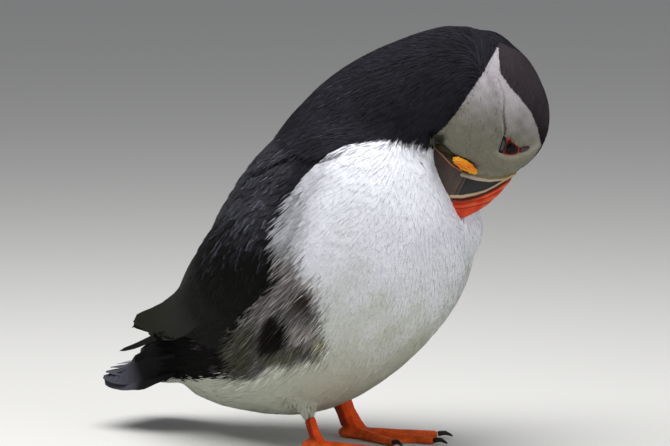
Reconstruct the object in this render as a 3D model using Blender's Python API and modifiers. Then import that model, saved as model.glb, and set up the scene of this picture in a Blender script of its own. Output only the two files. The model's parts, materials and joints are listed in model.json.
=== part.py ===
"""An Atlantic puffin at life size, standing with its head bowed on to its breast, as a still museum model.

Lengths below are millimetres. The bird faces +X, its left side is +Y, and it stands on Z = 0. The body is one soft
form parted with thin cuts. The head and all it carries are modelled level, in the head's own frame (+X to the bill
tip, +Z to the crown), and are then turned and set in place by one pose.
"""

import math

import bmesh
import bpy
from mathutils import Euler, Matrix, Vector

MM = 0.001
GAP = 0.3  # air between touching pieces
BODY_REACH = 200  # more than the bird measures any way from its middle

# Pose of the head: the joint of bill and face, and the three turns from level.
HEAD_AT = (64.0, 14.5, 126.0)
HEAD_ROLL, HEAD_NOD, HEAD_TURN = 19.2, 111.7, 52.9

# Trunk: (x, z of the middle, half width, half depth). The sections lean square to the line of middles.
TRUNK = (
    (-81, 33, 8, 8),
    (-74, 34, 15.5, 18.5),
    (-53, 40, 28, 31.5),
    (-28, 53, 41, 46.8),
    (-6, 72, 48, 53.5),
    (13.5, 93.5, 49.5, 54.5),
    (28, 112, 45.5, 47.5),
    (39, 124, 37, 35),
    (46, 132, 18, 18),
)
# Neck: (x, y, z of the middle, half width, half depth), from inside the shoulders over and down into the head.
NECK = (
    (0, 0, 104, 37, 37),
    (8, 3, 123, 33, 32.5),
    (22, 7, 140, 28, 29.5),
    (40, 12, 152, 24, 26.5),
    (57, 17, 155.5, 21, 27.5),
    (70, 20, 150, 17, 20),
)
# Breast feathers pushed up on each side of the bill: middle and radius.
BREAST_SWELLS = (((38, -10, 98), 27), ((46, 19, 95), 18))
NECK_CUT_AT, NECK_CUT_NORMAL = (20, 0, 132), (0.18, 0, 1)
# Melting the body and the feet: voxel size, the share of faces kept, and rounds of smoothing.
BODY_MELT, FOOT_MELT = (2.6, 0.048, 9), (0.6, 0.045, 2)

# Head, level: (x, z of the crown, z of the throat, half width). X = 0 is where the bill starts.
HEAD = (
    (-54.0, -8.0, -13.0, 3.0),
    (-52.0, -2.0, -18.0, 9.0),
    (-48.0, 7.2, -21.0, 14.0),
    (-42.0, 14.6, -22.0, 17.5),
    (-33.0, 22.2, -23.0, 19.6),
    (-22.0, 25.9, -23.0, 19.8),
    (-12.0, 24.9, -22.5, 17.8),
    (-4.0, 21.0, -20.5, 13.6),
    (1.0, 18.2, -18.0, 9.4),
)
HEAD_SIDES = 18
EYE_AT, EYE_RADIUS = (-10.6, 12.2, 13.2), 4.4
# Bill, level: the ridge and the keel as (x, z), the mouth line, and half the thickness at the base.
BILL_RIDGE = ((-1, 19), (4, 17.6), (10, 15.4), (16, 12.2), (22, 7.4), (26.5, 2), (29, -4.4))
BILL_KEEL = ((-1, -17), (4, -16.6), (10, -15.2), (16, -12.8), (21, -9.8), (25, -6.9), (26.5, -5.6))
MOUTH_START, MOUTH_END = (-1.0, -2.0), (29.0, -4.8)
BILL_HALF_WIDTH, BILL_TIP_SHARE = 8.2, 0.20
BILL_SIDES = 14
MOUTH_GAP = 0.35
# The fleshy rosette at each corner of the mouth, and its lean from upright in degrees.
ROSETTE_AT, ROSETTE_RADII, ROSETTE_LEAN = (3.6, 8.2, -2.6), (2.3, 1.9, 6.2), 12

# Right wing, folded: (x, y, z of the middle, half chord, half thickness, sag of the inner side).
WING = (
    (8, -43.5, 106, 8, 1.2, 0.5),
    (1, -45.0, 102, 18, 3.6, 3.4),
    (-15, -46.0, 91, 22, 4.8, 6.0),
    (-36, -41.5, 74.5, 20, 4.6, 5.4),
    (-56, -30.0, 58.5, 13.0, 3.4, 3.2),
    (-72, -21.5, 51.0, 8.8, 2.2, 1.2),
    (-87, -15.0, 48.0, 5.6, 1.3, 0.4),
    (-98, -11.0, 45.8, 2.2, 0.6, 0.0),
)
WING_SIDES, TAIL_SIDES = 16, 16
# Tail: (x, z of the middle, half width, half thickness).
TAIL = (
    (-60, 39, 14, 11),
    (-72, 35, 19, 13),
    (-84, 29.8, 19.5, 10.5),
    (-94, 26.8, 20.5, 5.2),
    (-103, 24.2, 19.5, 2.0),
    (-110, 21.8, 14.0, 1.2),
    (-112, 21.2, 7.0, 0.8),
)

# Legs: where each foot's toes join, the yaw of its middle toe, and where the leg enters the belly.
FEET = {"left": ((-2.5, 22, 0), 6.0, (-13, 18, 30)), "right": ((5.5, -17, 0), -8.0, (-6, -15, 30))}
FOOT_PAD_RADII, FOOT_PAD_AT = (6.4, 4.2, 3.2), (-1.8, 0, 1.9)
THIGH_FOOT_HEIGHT, THIGH_RADII = 11.5, (11.0, 4.6)
SHANK_RADII, SHANK_INTO_THIGH = (3.1, 2.6, 3.3), 6.0
ANKLE_HEIGHT = 3.4
TOES = (("outer", 27.0, 36.0), ("middle", 0.0, 39.0), ("inner", -26.0, 29.0))
TOE_RADII, TOE_SINK = (2.9, 2.3, 1.9), 0.6
CLAW_LENGTH, CLAW_RADIUS, CLAW_LIFT = 6.5, 1.25, 0.35
WEB_THICKNESS = 1.2

COLOURS = {
    "black_feathers": ((0.018, 0.018, 0.021), 0.75),
    "white_feathers": ((0.80, 0.80, 0.80), 0.85),
    "cheek_feathers": ((0.42, 0.42, 0.41), 0.85),
    "bill_horn": ((0.75, 0.12, 0.03), 0.40),
    "rosette_skin": ((0.90, 0.38, 0.03), 0.50),
    "eye": ((0.012, 0.008, 0.007), 0.08),
    "leg_skin": ((0.80, 0.14, 0.03), 0.50),
    "claw_horn": ((0.02, 0.018, 0.016), 0.35),
}


def clear_scene():
    for obj in list(bpy.data.objects):
        bpy.data.objects.remove(obj, do_unlink=True)


def collection(name):
    made = bpy.data.collections.new(name)
    bpy.context.scene.collection.children.link(made)
    return made


def material(name):
    (colour, roughness) = COLOURS[name]
    made = bpy.data.materials.get(name) or bpy.data.materials.new(name)
    made.use_nodes = True
    shader = made.node_tree.nodes["Principled BSDF"]
    shader.inputs["Base Color"].default_value = (*colour, 1)
    shader.inputs["Roughness"].default_value = roughness
    made.diffuse_color = (*colour, 1)
    return made


def add(name, mesh, where, finish):
    """An object of this mesh, in collection where, with one material."""
    obj = bpy.data.objects.new(name, mesh)
    where.objects.link(obj)
    mesh.materials.clear()
    mesh.materials.append(material(finish))
    return obj


def smooth_rows(rows, steps):
    """The rows joined by Catmull-Rom curves, each number of a row by itself, with steps new rows to a gap."""
    out = []
    for i in range(len(rows) - 1):
        before, here, there, after = rows[max(i - 1, 0)], rows[i], rows[i + 1], rows[min(i + 2, len(rows) - 1)]
        for s in range(steps):
            t = s / steps
            out.append([
                0.5 * (2 * b + (c - a) * t + (2 * a - 5 * b + 4 * c - d) * t * t
                       + (3 * b - 3 * c + d - a) * t ** 3)
                for a, b, c, d in zip(before, here, there, after)
            ])
    out.append(list(rows[-1]))
    return out


def loft(rings):
    """A closed mesh through rings of points, each ring a list of Vectors, with a point amid each end."""
    bm = bmesh.new()
    loops = [[bm.verts.new(p * MM) for p in ring] for ring in rings]
    count = len(loops[0])
    for low, high in zip(loops, loops[1:]):
        for i in range(count):
            j = (i + 1) % count
            bm.faces.new((low[i], low[j], high[j], high[i]))
    for loop, flip in ((loops[0], True), (loops[-1], False)):
        middle = bm.verts.new(sum((v.co for v in loop), Vector()) / count)
        for i in range(count):
            j = (i + 1) % count
            bm.faces.new((loop[j], loop[i], middle) if flip else (loop[i], loop[j], middle))
    bmesh.ops.recalc_face_normals(bm, faces=bm.faces)
    mesh = bpy.data.meshes.new("loft")
    bm.to_mesh(mesh)
    bm.free()
    mesh.shade_smooth()
    return mesh


def section(middle, side, up, half_width, half_depth, sides, sag=0.0, power=1.0):
    """A ring of points round middle. Sag bows its two edges against up, and power under 1 squares it off."""
    ring = []
    for i in range(sides):
        a = 2 * math.pi * i / sides
        across, rise = math.cos(a), math.sin(a)
        across = math.copysign(abs(across) ** power, across)
        rise = math.copysign(abs(rise) ** power, rise)
        ring.append(middle + side * (half_width * across) + up * (half_depth * rise - sag * across * across))
    return ring


def tube_rings(rows, side_of, sides, steps, power=1.0):
    """Rings square to the path of rows (x, y, z, half width, half depth); side_of gives a row's own side."""
    rows = smooth_rows(rows, steps)
    rings = []
    for i, row in enumerate(rows):
        ahead, behind = rows[min(i + 1, len(rows) - 1)], rows[max(i - 1, 0)]
        along = (Vector(ahead[:3]) - Vector(behind[:3])).normalized()
        side = side_of(i / (len(rows) - 1))
        side = (side - along * side.dot(along)).normalized()
        up = along.cross(side)
        rings.append(section(Vector(row[:3]), side, up, row[3], row[4], sides, 0.0, power))
    return rings


def ball(middle, radii, turn=None):
    """An ellipsoid of these radii, made from a sphere primitive."""
    bm = bmesh.new()
    bmesh.ops.create_uvsphere(bm, u_segments=12, v_segments=8, radius=1)
    place = Matrix.Translation(Vector(middle) * MM)
    if turn:
        place = place @ turn
    bm.transform(place @ Matrix.Diagonal((*[r * MM for r in radii], 1)))
    mesh = bpy.data.meshes.new("ball")
    bm.to_mesh(mesh)
    bm.free()
    mesh.shade_smooth()
    return mesh


def joined(meshes):
    """One mesh of several, as loose shells."""
    bm = bmesh.new()
    for mesh in meshes:
        bm.from_mesh(mesh)
    out = bpy.data.meshes.new("joined")
    bm.to_mesh(out)
    bm.free()
    return out


def evaluated(obj):
    """The object's mesh with its modifiers applied, in the object's own frame."""
    graph = bpy.context.evaluated_depsgraph_get()
    mesh = bpy.data.meshes.new_from_object(obj.evaluated_get(graph))
    mesh.shade_smooth()
    return mesh


def soft_form(meshes, where, melt):
    """The shells melted into one, smoothed, and thinned to a share of its faces."""
    voxel, keep, rounds = melt
    obj = add("form", joined(meshes), where, "white_feathers")
    remesh = obj.modifiers.new("Melt", "REMESH")
    remesh.mode, remesh.voxel_size = "VOXEL", voxel * MM
    relax = obj.modifiers.new("Relax", "SMOOTH")
    relax.factor, relax.iterations = 0.5, rounds
    thin = obj.modifiers.new("Thin", "DECIMATE")
    thin.ratio = keep
    mesh = evaluated(obj)
    bpy.data.objects.remove(obj)
    return mesh


def cutter_from(obj, tools):
    """A wire copy of obj, grown by the gap all round, that cuts room for it in a neighbour."""
    tool = obj.copy()
    tool.data = obj.data.copy()
    tool.name = "cut_" + obj.name
    tools.objects.link(tool)
    push = tool.modifiers.new("Room", "DISPLACE")
    push.strength, push.mid_level = GAP * MM, 0.0
    tool.hide_render = True
    tool.display_type = "WIRE"
    return tool


def cut(obj, tool, operation="DIFFERENCE"):
    made = obj.modifiers.new(operation.title() + "_" + tool.name, "BOOLEAN")
    made.operation, made.object, made.solver = operation, tool, "EXACT"


def half_space(name, at, normal, tools, reach):
    """A block on the side of a plane that its normal points to, and reaching that far each way."""
    bm = bmesh.new()
    bmesh.ops.create_cube(bm, size=2 * reach * MM)
    turn = Vector(normal).to_track_quat("Z", "Y").to_matrix().to_4x4()
    bm.transform(Matrix.Translation(Vector(at) * MM) @ turn @ Matrix.Translation((0, 0, reach * MM)))
    mesh = bpy.data.meshes.new(name)
    bm.to_mesh(mesh)
    bm.free()
    tool = bpy.data.objects.new(name, mesh)
    tools.objects.link(tool)
    tool.hide_render = True
    tool.display_type = "WIRE"
    return tool


def head_pose():
    turn = Euler([math.radians(a) for a in (HEAD_ROLL, HEAD_NOD, HEAD_TURN)], "XYZ")
    return Matrix.Translation(Vector(HEAD_AT) * MM) @ turn.to_matrix().to_4x4()


def trunk_mesh():
    rows = [(x, 0, z, w, d) for x, z, w, d in TRUNK]
    return loft(tube_rings(rows, lambda t: Vector((0, 1, 0)), 28, 3))


def neck_mesh():
    """The neck's sections turn from the body's level side to the head's own side."""
    head_side = head_pose().to_3x3() @ Vector((0, 1, 0))
    level = Vector((0, 1, 0))
    return loft(tube_rings(NECK, lambda t: level.lerp(head_side, t), 24, 3))


def make_body(parts, tools):
    """Trunk and neck: one melted form, parted by a thin flat cut."""
    swells = [ball(at, (r, r, r)) for at, r in BREAST_SWELLS]
    form = soft_form([trunk_mesh(), neck_mesh(), *swells], tools, BODY_MELT)
    normal = Vector(NECK_CUT_NORMAL).normalized()
    at = Vector(NECK_CUT_AT)
    above = half_space("above_cut", at + normal * GAP / 2, normal, tools, BODY_REACH)
    below = half_space("below_cut", at - normal * GAP / 2, -normal, tools, BODY_REACH)
    trunk = add("trunk", form, parts, "white_feathers")
    cut(trunk, below, "INTERSECT")
    neck = add("neck", form.copy(), parts, "black_feathers")
    cut(neck, above, "INTERSECT")
    return trunk, neck


def make_head(parts, pose):
    side, up = Vector((0, 1, 0)), Vector((0, 0, 1))
    rings = []
    for x, crown, throat, width in smooth_rows(HEAD, 2):
        middle = Vector((x, 0, (crown + throat) / 2))
        rings.append(section(middle, side, up, width, (crown - throat) / 2, HEAD_SIDES))
    head = add("head", loft(rings), parts, "cheek_feathers")
    head.parent = pose
    return head


def mouth_height(x):
    (x0, z0), (x1, z1) = MOUTH_START, MOUTH_END
    return z0 + (z1 - z0) * (x - x0) / (x1 - x0)


def bill_half(outline, sign):
    """One half of the bill: upright sections from the mouth line out to the ridge or keel, thin at the edge."""
    rings = []
    end = outline[-1][0]
    for x, z in smooth_rows(outline, 2):
        low, high = mouth_height(x) + sign * MOUTH_GAP / 2, z
        reach = max(sign * (high - low), 0.5)
        width = BILL_HALF_WIDTH * (1 - (1 - BILL_TIP_SHARE) * ((x + 1) / (end + 1)) ** 1.25)
        ring = []
        for i in range(BILL_SIDES):
            a = 2 * math.pi * i / BILL_SIDES
            rise = 0.5 - 0.5 * math.cos(a)
            # Full at the mouth line, drawn in to a rounded edge at the ridge.
            fat = abs(math.sin(a)) ** 0.42 * (1 - 0.72 * rise ** 1.5)
            ring.append(Vector((x, math.copysign(width * fat, math.sin(a)), low + sign * reach * rise)))
        rings.append(ring)
    return loft(rings)


def make_bill(parts, pose):
    upper = add("bill_upper", bill_half(BILL_RIDGE, 1), parts, "bill_horn")
    lower = add("bill_lower", bill_half(BILL_KEEL, -1), parts, "bill_horn")
    for half in (upper, lower):
        half.parent = pose
    return upper, lower


def make_eyes(parts, pose):
    eyes = []
    for name, side in (("eye_right", -1), ("eye_left", 1)):
        x, y, z = EYE_AT
        mesh = ball((0, 0, 0), (EYE_RADIUS,) * 3)
        eye = add(name, mesh, parts, "eye")
        eye.location = Vector((x, side * y, z)) * MM
        eye.parent = pose
        eyes.append(eye)
    return eyes


def make_rosettes(parts, pose):
    rosettes = []
    for name, side in (("rosette_right", -1), ("rosette_left", 1)):
        x, y, z = ROSETTE_AT
        mesh = ball((0, 0, 0), ROSETTE_RADII, Euler((0, math.radians(ROSETTE_LEAN), 0)).to_matrix().to_4x4())
        rosette = add(name, mesh, parts, "rosette_skin")
        rosette.location = Vector((x, side * y, z)) * MM
        rosette.parent = pose
        rosettes.append(rosette)
    return rosettes


def wing_mesh(mirror):
    """A folded wing: long, thin and bowed round the flank, blunt at the shoulder and fine at the tip."""
    rows = [(x, y * mirror, z, w, d, s) for x, y, z, w, d, s in WING]
    out = Vector((0, -mirror, 0))
    middles = smooth_rows(rows, 2)
    rings = []
    for i, row in enumerate(middles):
        ahead, behind = middles[min(i + 1, len(middles) - 1)], middles[max(i - 1, 0)]
        along = (Vector(ahead[:3]) - Vector(behind[:3])).normalized()
        # The wing faces outwards and a little up, more so where it lies on the rump.
        face = (out + Vector((-0.1, 0, 0.22 + 0.5 * i / len(middles)))).normalized()
        face = (face - along * face.dot(along)).normalized()
        chord = along.cross(face)
        rings.append(section(Vector(row[:3]), chord, face, row[3], row[4], WING_SIDES, row[5], 0.9))
    return loft(rings)


def make_wings(parts):
    sides = (("wing_right", 1), ("wing_left", -1))
    return [add(name, wing_mesh(mirror), parts, "black_feathers") for name, mirror in sides]


def make_tail(parts):
    rows = [(x, 0, z, w, d) for x, z, w, d in TAIL]
    rings = tube_rings(rows, lambda t: Vector((0, 1, 0)), TAIL_SIDES, 2, 0.8)
    return add("tail", loft(rings), parts, "black_feathers")


def tapered(points, radii, sides):
    """A round limb along points, its radius read along the list radii."""
    rows = [(*p, r, r) for p, r in zip(points, radii)]
    direction = Vector(points[-1]) - Vector(points[0])
    flat = Vector((0, 0, 1)).cross(direction)
    side = flat.normalized() if flat.length > 1 else Vector((0, 1, 0))
    return loft(tube_rings(rows, lambda t: side, sides, 2))


def leg_line(side):
    """The line of a leg, from the toes' joint up into the belly, in millimetres."""
    toes, _, hip = FEET[side]
    return Vector(toes) + Vector((0, 0, ANKLE_HEIGHT)), Vector(hip)


def make_thigh(side, parts):
    """The feathered top of the leg, a cone out of the belly."""
    low, high = leg_line(side)
    along = (high - low) / (high.z - low.z)
    foot = low + along * (THIGH_FOOT_HEIGHT - low.z)
    middle = (foot + high) / 2
    wide, narrow = THIGH_RADII
    mesh = tapered([foot, middle, high], [narrow, (wide + narrow) / 2, wide], 12)
    return add("thigh_" + side, mesh, parts, "white_feathers")


def make_shank(side, parts):
    low, high = leg_line(side)
    along = (high - low) / (high.z - low.z)
    top = low + along * (THIGH_FOOT_HEIGHT + SHANK_INTO_THIGH - low.z)
    bottom = low + Vector((0, 0, -1.2))
    mesh = tapered([bottom, (bottom + top) / 2, top], SHANK_RADII, 10)
    return add("shank_" + side, mesh, parts, "leg_skin")


def toe_tip(side, toe):
    """The end of a toe's skin on the floor, and the toe's direction."""
    (x, y, _), yaw, _ = FEET[side]
    _, spread, length = toe
    outwards = 1 if side == "left" else -1
    heading = math.radians(yaw + outwards * spread)
    along = Vector((math.cos(heading), math.sin(heading), 0))
    return Vector((x, y, 0)) + along * length, along


def toe_mesh(side, toe):
    """A toe from its joint out to where its claw starts, lying a little into the floor."""
    tip, along = toe_tip(side, toe)
    start = Vector(FEET[side][0])
    knuckles = (start - along * 2.5, start.lerp(tip, 0.45), tip)
    points = [at + Vector((0, 0, r - TOE_SINK)) for at, r in zip(knuckles, TOE_RADII)]
    return tapered(points, TOE_RADII, 7)


def web_mesh(side, first, second):
    """The web between two toes: a thin flat sheet whose front edge hangs back between the tips."""
    start = Vector(FEET[side][0])
    a, b = toe_tip(side, first)[0], toe_tip(side, second)[0]
    a, b = start.lerp(a, 0.93), start.lerp(b, 0.93)
    edge = []
    for i in range(5):
        t = i / 4
        point = a.lerp(b, t)
        edge.append(start.lerp(point, 1 - 0.16 * math.sin(math.pi * t)))
    outline = [start, *edge]
    bm = bmesh.new()
    face = bm.faces.new([bm.verts.new(Vector((p.x, p.y, WEB_THICKNESS)) * MM) for p in outline])
    raised = bmesh.ops.extrude_face_region(bm, geom=[face])
    lower = [v for v in raised["geom"] if isinstance(v, bmesh.types.BMVert)]
    bmesh.ops.translate(bm, vec=(0, 0, -2.5 * WEB_THICKNESS * MM), verts=lower)
    bmesh.ops.recalc_face_normals(bm, faces=bm.faces)
    mesh = bpy.data.meshes.new("web")
    bm.to_mesh(mesh)
    bm.free()
    return mesh


def make_foot(side, parts, tools):
    """Three webbed toes and the pad under their joint, as one piece, flat underneath."""
    pad = ball(Vector(FEET[side][0]) + Vector(FOOT_PAD_AT), FOOT_PAD_RADII)
    shapes = [pad] + [toe_mesh(side, toe) for toe in TOES]
    shapes += [web_mesh(side, TOES[0], TOES[1]), web_mesh(side, TOES[1], TOES[2])]
    foot = add("foot_" + side, soft_form(shapes, tools, FOOT_MELT), parts, "leg_skin")
    under = Vector(FEET[side][0]) + Vector((TOES[1][2] / 2, 0, 0))
    cut(foot, half_space("floor_cut_" + side, under, (0, 0, -1), tools, TOES[1][2]))
    return foot


def make_claw(side, toe, parts):
    tip, along = toe_tip(side, toe)
    up = Vector((0, 0, 1))
    start = tip + along * 0.2 + up * (CLAW_RADIUS + CLAW_LIFT)
    points = [start, start + along * CLAW_LENGTH * 0.5 + up * 0.5, start + along * CLAW_LENGTH - up * 0.9]
    mesh = tapered(points, (CLAW_RADIUS, CLAW_RADIUS * 0.85, 0.35), 7)
    return add(f"claw_{toe[0]}_{side}", mesh, parts, "claw_horn")


def make_legs(parts, tools, trunk):
    for side in FEET:
        thigh = make_thigh(side, parts)
        shank = make_shank(side, parts)
        foot = make_foot(side, parts, tools)
        cut(trunk, cutter_from(thigh, tools))
        cut(thigh, cutter_from(shank, tools))
        cut(shank, cutter_from(foot, tools))
        for toe in TOES:
            claw = make_claw(side, toe, parts)
            cut(foot, cutter_from(claw, tools))


def seat_shift(parts):
    """The move that brings the middle of the bird's box over the origin, with Z = 0 underfoot."""
    bpy.context.view_layer.update()
    graph = bpy.context.evaluated_depsgraph_get()
    points = []
    for obj in parts.objects:
        if obj.type == "MESH":
            ready = obj.evaluated_get(graph)
            points += [ready.matrix_world @ v.co for v in ready.data.vertices]
    low = Vector([min(p[i] for p in points) for i in range(3)])
    high = Vector([max(p[i] for p in points) for i in range(3)])
    return Vector((-(low.x + high.x) / 2, -(low.y + high.y) / 2, -low.z))


def build():
    clear_scene()
    parts, tools = collection("puffin"), collection("cutters")
    bird = bpy.data.objects.new("bird", None)
    pose = bpy.data.objects.new("head_pose", None)
    for empty in (bird, pose):
        parts.objects.link(empty)
    pose.matrix_world = head_pose()
    bpy.context.view_layer.update()

    head = make_head(parts, pose)
    bill_halves = make_bill(parts, pose)
    rosettes = make_rosettes(parts, pose)
    for eye in make_eyes(parts, pose):
        cut(head, cutter_from(eye, tools))
    trunk, neck = make_body(parts, tools)
    for piece in (head, *bill_halves, rosettes[1]):
        room = cutter_from(piece, tools)
        cut(trunk, room)
        cut(neck, room)
    for half in bill_halves:
        cut(head, cutter_from(half, tools))
        for rosette in rosettes:
            cut(half, cutter_from(rosette, tools))
    for rosette in rosettes:
        cut(head, cutter_from(rosette, tools))
    for piece in (*make_wings(parts), make_tail(parts)):
        cut(trunk, cutter_from(piece, tools))
    make_legs(parts, tools, trunk)

    for obj in (*parts.objects, *tools.objects):
        if obj.parent is None and obj is not bird:
            obj.parent = bird
    bird.location = seat_shift(parts)
    bpy.context.view_layer.update()


build()
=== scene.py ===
"""The looks of a life-size Atlantic puffin that stands with its head bowed on to its breast.

One skin stands for all the flesh of the solid model, and the plumage lies over it as closed vanes and tufts
that follow the lie of the feathers. Bill, rosettes, eyes, legs, feet and claws are pieces of their own.
Lengths inside the functions are millimetres, and the bird faces +X with its left side to +Y. Marks on the
head are placed in the head's own frame: forward to the bill tip, left, and up to the crown, from the middle
of the bill's base.
"""

import json
import math

import bpy
import numpy as np
from bpy.props import FloatProperty, FloatVectorProperty, IntProperty, PointerProperty
from mathutils import Matrix, Vector
from mathutils.bvhtree import BVHTree

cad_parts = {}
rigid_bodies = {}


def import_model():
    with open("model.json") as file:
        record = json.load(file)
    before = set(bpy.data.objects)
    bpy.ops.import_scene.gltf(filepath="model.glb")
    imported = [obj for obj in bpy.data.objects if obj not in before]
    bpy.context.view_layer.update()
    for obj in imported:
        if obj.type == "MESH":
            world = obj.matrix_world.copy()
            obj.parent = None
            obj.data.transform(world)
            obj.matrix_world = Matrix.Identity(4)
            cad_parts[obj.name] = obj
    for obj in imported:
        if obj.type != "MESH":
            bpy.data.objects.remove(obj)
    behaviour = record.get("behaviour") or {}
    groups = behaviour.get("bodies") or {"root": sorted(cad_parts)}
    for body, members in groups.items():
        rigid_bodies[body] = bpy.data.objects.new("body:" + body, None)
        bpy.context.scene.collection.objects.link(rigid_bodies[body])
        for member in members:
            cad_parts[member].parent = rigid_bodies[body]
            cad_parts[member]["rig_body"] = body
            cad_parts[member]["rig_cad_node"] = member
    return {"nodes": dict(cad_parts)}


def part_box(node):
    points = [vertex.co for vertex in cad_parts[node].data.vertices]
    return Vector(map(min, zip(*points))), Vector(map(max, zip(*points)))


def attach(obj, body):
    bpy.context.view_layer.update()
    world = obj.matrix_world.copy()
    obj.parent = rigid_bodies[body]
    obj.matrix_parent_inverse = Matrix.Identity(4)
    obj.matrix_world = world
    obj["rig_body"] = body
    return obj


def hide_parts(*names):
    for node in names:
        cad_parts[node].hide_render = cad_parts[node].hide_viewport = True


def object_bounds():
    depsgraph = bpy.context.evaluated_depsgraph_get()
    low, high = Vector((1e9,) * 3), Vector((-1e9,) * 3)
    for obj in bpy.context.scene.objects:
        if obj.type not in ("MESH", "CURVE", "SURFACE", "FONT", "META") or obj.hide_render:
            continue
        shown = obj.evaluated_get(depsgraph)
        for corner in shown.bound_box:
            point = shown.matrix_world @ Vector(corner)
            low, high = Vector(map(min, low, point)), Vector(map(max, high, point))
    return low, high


bl_info = {
    "name": "Atlantic Puffin Looks",
    "version": (1, 0, 0),
    "blender": (4, 5, 0),
    "location": "View3D > Sidebar > Puffin",
    "description": "Skin, plumage, bill, eyes, legs and stage of a standing Atlantic puffin",
    "category": "Object",
}

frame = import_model()
CAD_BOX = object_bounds()

MM = 0.001
ROOT = "root"
SIDES = ((-1, "right"), (1, "left"))
COLOUR, VANE_MAP, BAKE_MAP = "Plumage", "Vane", "OFBake"
MERGED = {"threshold": 0.01 * MM}  # points nearer than this are one
MOST_TRIANGLES = 199000  # a piece stays under 200,000

# In metres: where the camera aims, from the box's middle to the right, up and back. Then the place of each
# lamp from there, the key's as (x, y, z) and the side's as the aim's, their widths, and the side lamp's share
# of the key's power.
AIM = (0.01009, 0.00421, 0.0254)
KEY_PLACE, SIDE_PLACE = (-0.08, -0.16, 0.75), (0.8, 0.35, 0.8)
KEY_WIDTH, SIDE_WIDTH, SIDE_SHARE = 0.9, 0.8, 0.24

# ---- Places and shapes ----

FLESH = ("trunk", "neck", "head", "thigh_left", "thigh_right", "wing_left", "wing_right", "tail")
PARTS = (*FLESH, "bill_upper")  # the feathers also run on to the bill, up to its rim
FLESH_GAP = 0.35  # grown by this much, the parts of the flesh touch across their cuts
BILL_BASE_RISE, BILL_BASE_END = 0.35, 9
# The bill's base is cut off in front along two lines: a place and the way forward, as (forward, up) pairs.
BILL_CUTS = (((6.9, -2), (0.993, 0.114)), ((5.3, 9.3), (0.824, 0.566)))
# The white thighs end at these heights, and the left one hides in the belly.
THIGH_ENDS = {"thigh_left": 20.5, "thigh_right": 11}
THIGH_TAPER = 0.42
FORM_VOXEL, FORM_ROUNDS = 1.25, 14
THICKEST = 40.0  # the form's thickness is measured up to this
# The skin lies this far below the feathers' roots, and where nothing grows this far below the form. It never
# lies deeper than this share of the form's thickness, and its depth is evened out in this many rounds.
SKIN_BELOW, BARE_DEPTH, DEEPEST_SHARE, DEPTH_ROUNDS = 0.15, 0.3, 0.34, 10
PATCH = 0.003  # a feather's place on the skin's unwrap

# The head's frame is found from two middles: between the eyes and between the rosettes.
EYES_MIDDLE, ROSETTES_MIDDLE = (-10.6, 0, 13.2), (3.6, 0, -2.6)

# Borders of the pale cheek, as (forward, up) pairs in the head's frame.
CHEEK_LOW = ((-48.5, -7.4), (-34, -9.6), (-25, -11.8), (-16, -13.8), (-9, -16), (-2.6, -19.6), (8, -22))
CHEEK_HIGH = ((-48.5, -7.4), (-38, -2.6), (-33.4, 4), (-30, 10.8), (-26.5, 16.2), (-22, 20.4), (-15.1, 25.3),
              (-12, 40))
CROWN_STRIPE, CROWN_STRIPE_FRONT = 5, 1.6  # half the crown's width between the cheeks, behind and at the bill
# The cheek's crease behind the eye, as (forward, up) pairs: the coat stands up over it and is painted darker in
# it, as shade.
CREASE = ((-14.2, 8.3), (-16, 8.1), (-18.8, 6.6), (-21.7, 5), (-25.3, 3.9), (-28.4, 3), (-30.6, 1.6),
          (-33.2, -0.6), (-36, -3))

# Where the dark upper side meets the white, as (x, z): along the rump, the wing's edge and the collar.
DARK_ABOVE = (
    (-85, 23), (-60, 23), (-52, 22.5), (-42, 26.5), (-22, 29.5), (-17, 33), (-15.5, 45),
    (-11, 51), (-2.8, 60), (5, 68), (12.3, 72), (18.2, 78), (19, 104), (23.2, 115.5),
    (28.6, 124), (34.8, 130.3), (40.8, 134.7), (48.3, 136), (54.6, 134), (62, 129.9), (90, 128),
)
RUMP_FRONT, RUMP_TOP = -16, 47
# The shaggy patch on each flank, and the shades in it, the lowest first, as outlines in (x, z).
FLANK = (
    (20, 97), (24, 91), (31, 86.5), (38, 80), (41, 71), (37, 64), (37.5, 55), (35, 49),
    (29, 43), (21, 41), (14, 38), (4, 36.5), (-5, 31), (-19, 28.5), (-20, 44), (-10, 56),
    (-1, 66), (7, 74), (15, 80), (17, 90),
)
FLANK_SHADES = (
    ("flank_pale", 0.44, 3, ((20, 92), (26, 92), (29, 86.5), (34, 84), (37, 80), (35, 75.5),
                               (29.5, 75), (24.5, 77), (19, 77))),
    ("flank_pale", 1, 3, ((31, 86), (38, 80.5), (43, 70.5), (37, 69.5), (34, 72.5), (32, 77))),
    ("flank_olive", 0.19, 3, ((-15, 48), (-2, 59), (3, 55.5), (-2, 40), (-8, 33), (-20, 29))),
    ("flank_pale", 0.34, 2, ((6.5, 68), (19, 74.5), (27, 76.5), (29.5, 73.5), (22, 67), (12.5, 60),
                               (3.5, 55.5), (-1, 59), (1.5, 64))),
    ("flank_pale", 0.22, 1.5, ((17, 64), (24.5, 66), (31, 61), (32, 57.5), (26.5, 57), (20.5, 58))),
    ("flank_pale", 0.58, 1.5, ((20, 57), (30.5, 60), (33, 55), (27, 50), (19, 49), (17.5, 52.5))),
    ("flank_dark", 2.5, 1.5, ((24, 70.5), (30, 73.5), (33, 70), (34.5, 65), (32, 62), (28, 64),
                               (24.5, 66.5))),
    ("flank_dark", 0.55, 1.6, ((9, 60.5), (15.5, 63), (18, 56.5), (19, 52.5), (13, 45.5), (4.5, 40.5),
                               (0, 41.5), (1.5, 49))),
    ("flank_olive", 0.28, 1.5, ((0.5, 42.5), (13, 45.5), (21.5, 49), (22.5, 46), (16, 40.5), (5, 38),
                                (0.5, 38.5))),
    ("flank_olive", 0.95, 1.2, ((26.5, 49.5), (31, 53.5), (36.5, 54.5), (34.5, 50), (29, 44.5), (26.5, 46.5))),
)
FLANK_EDGE = 4.5  # hairs rooted this near to the dark wing hang over it
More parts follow.
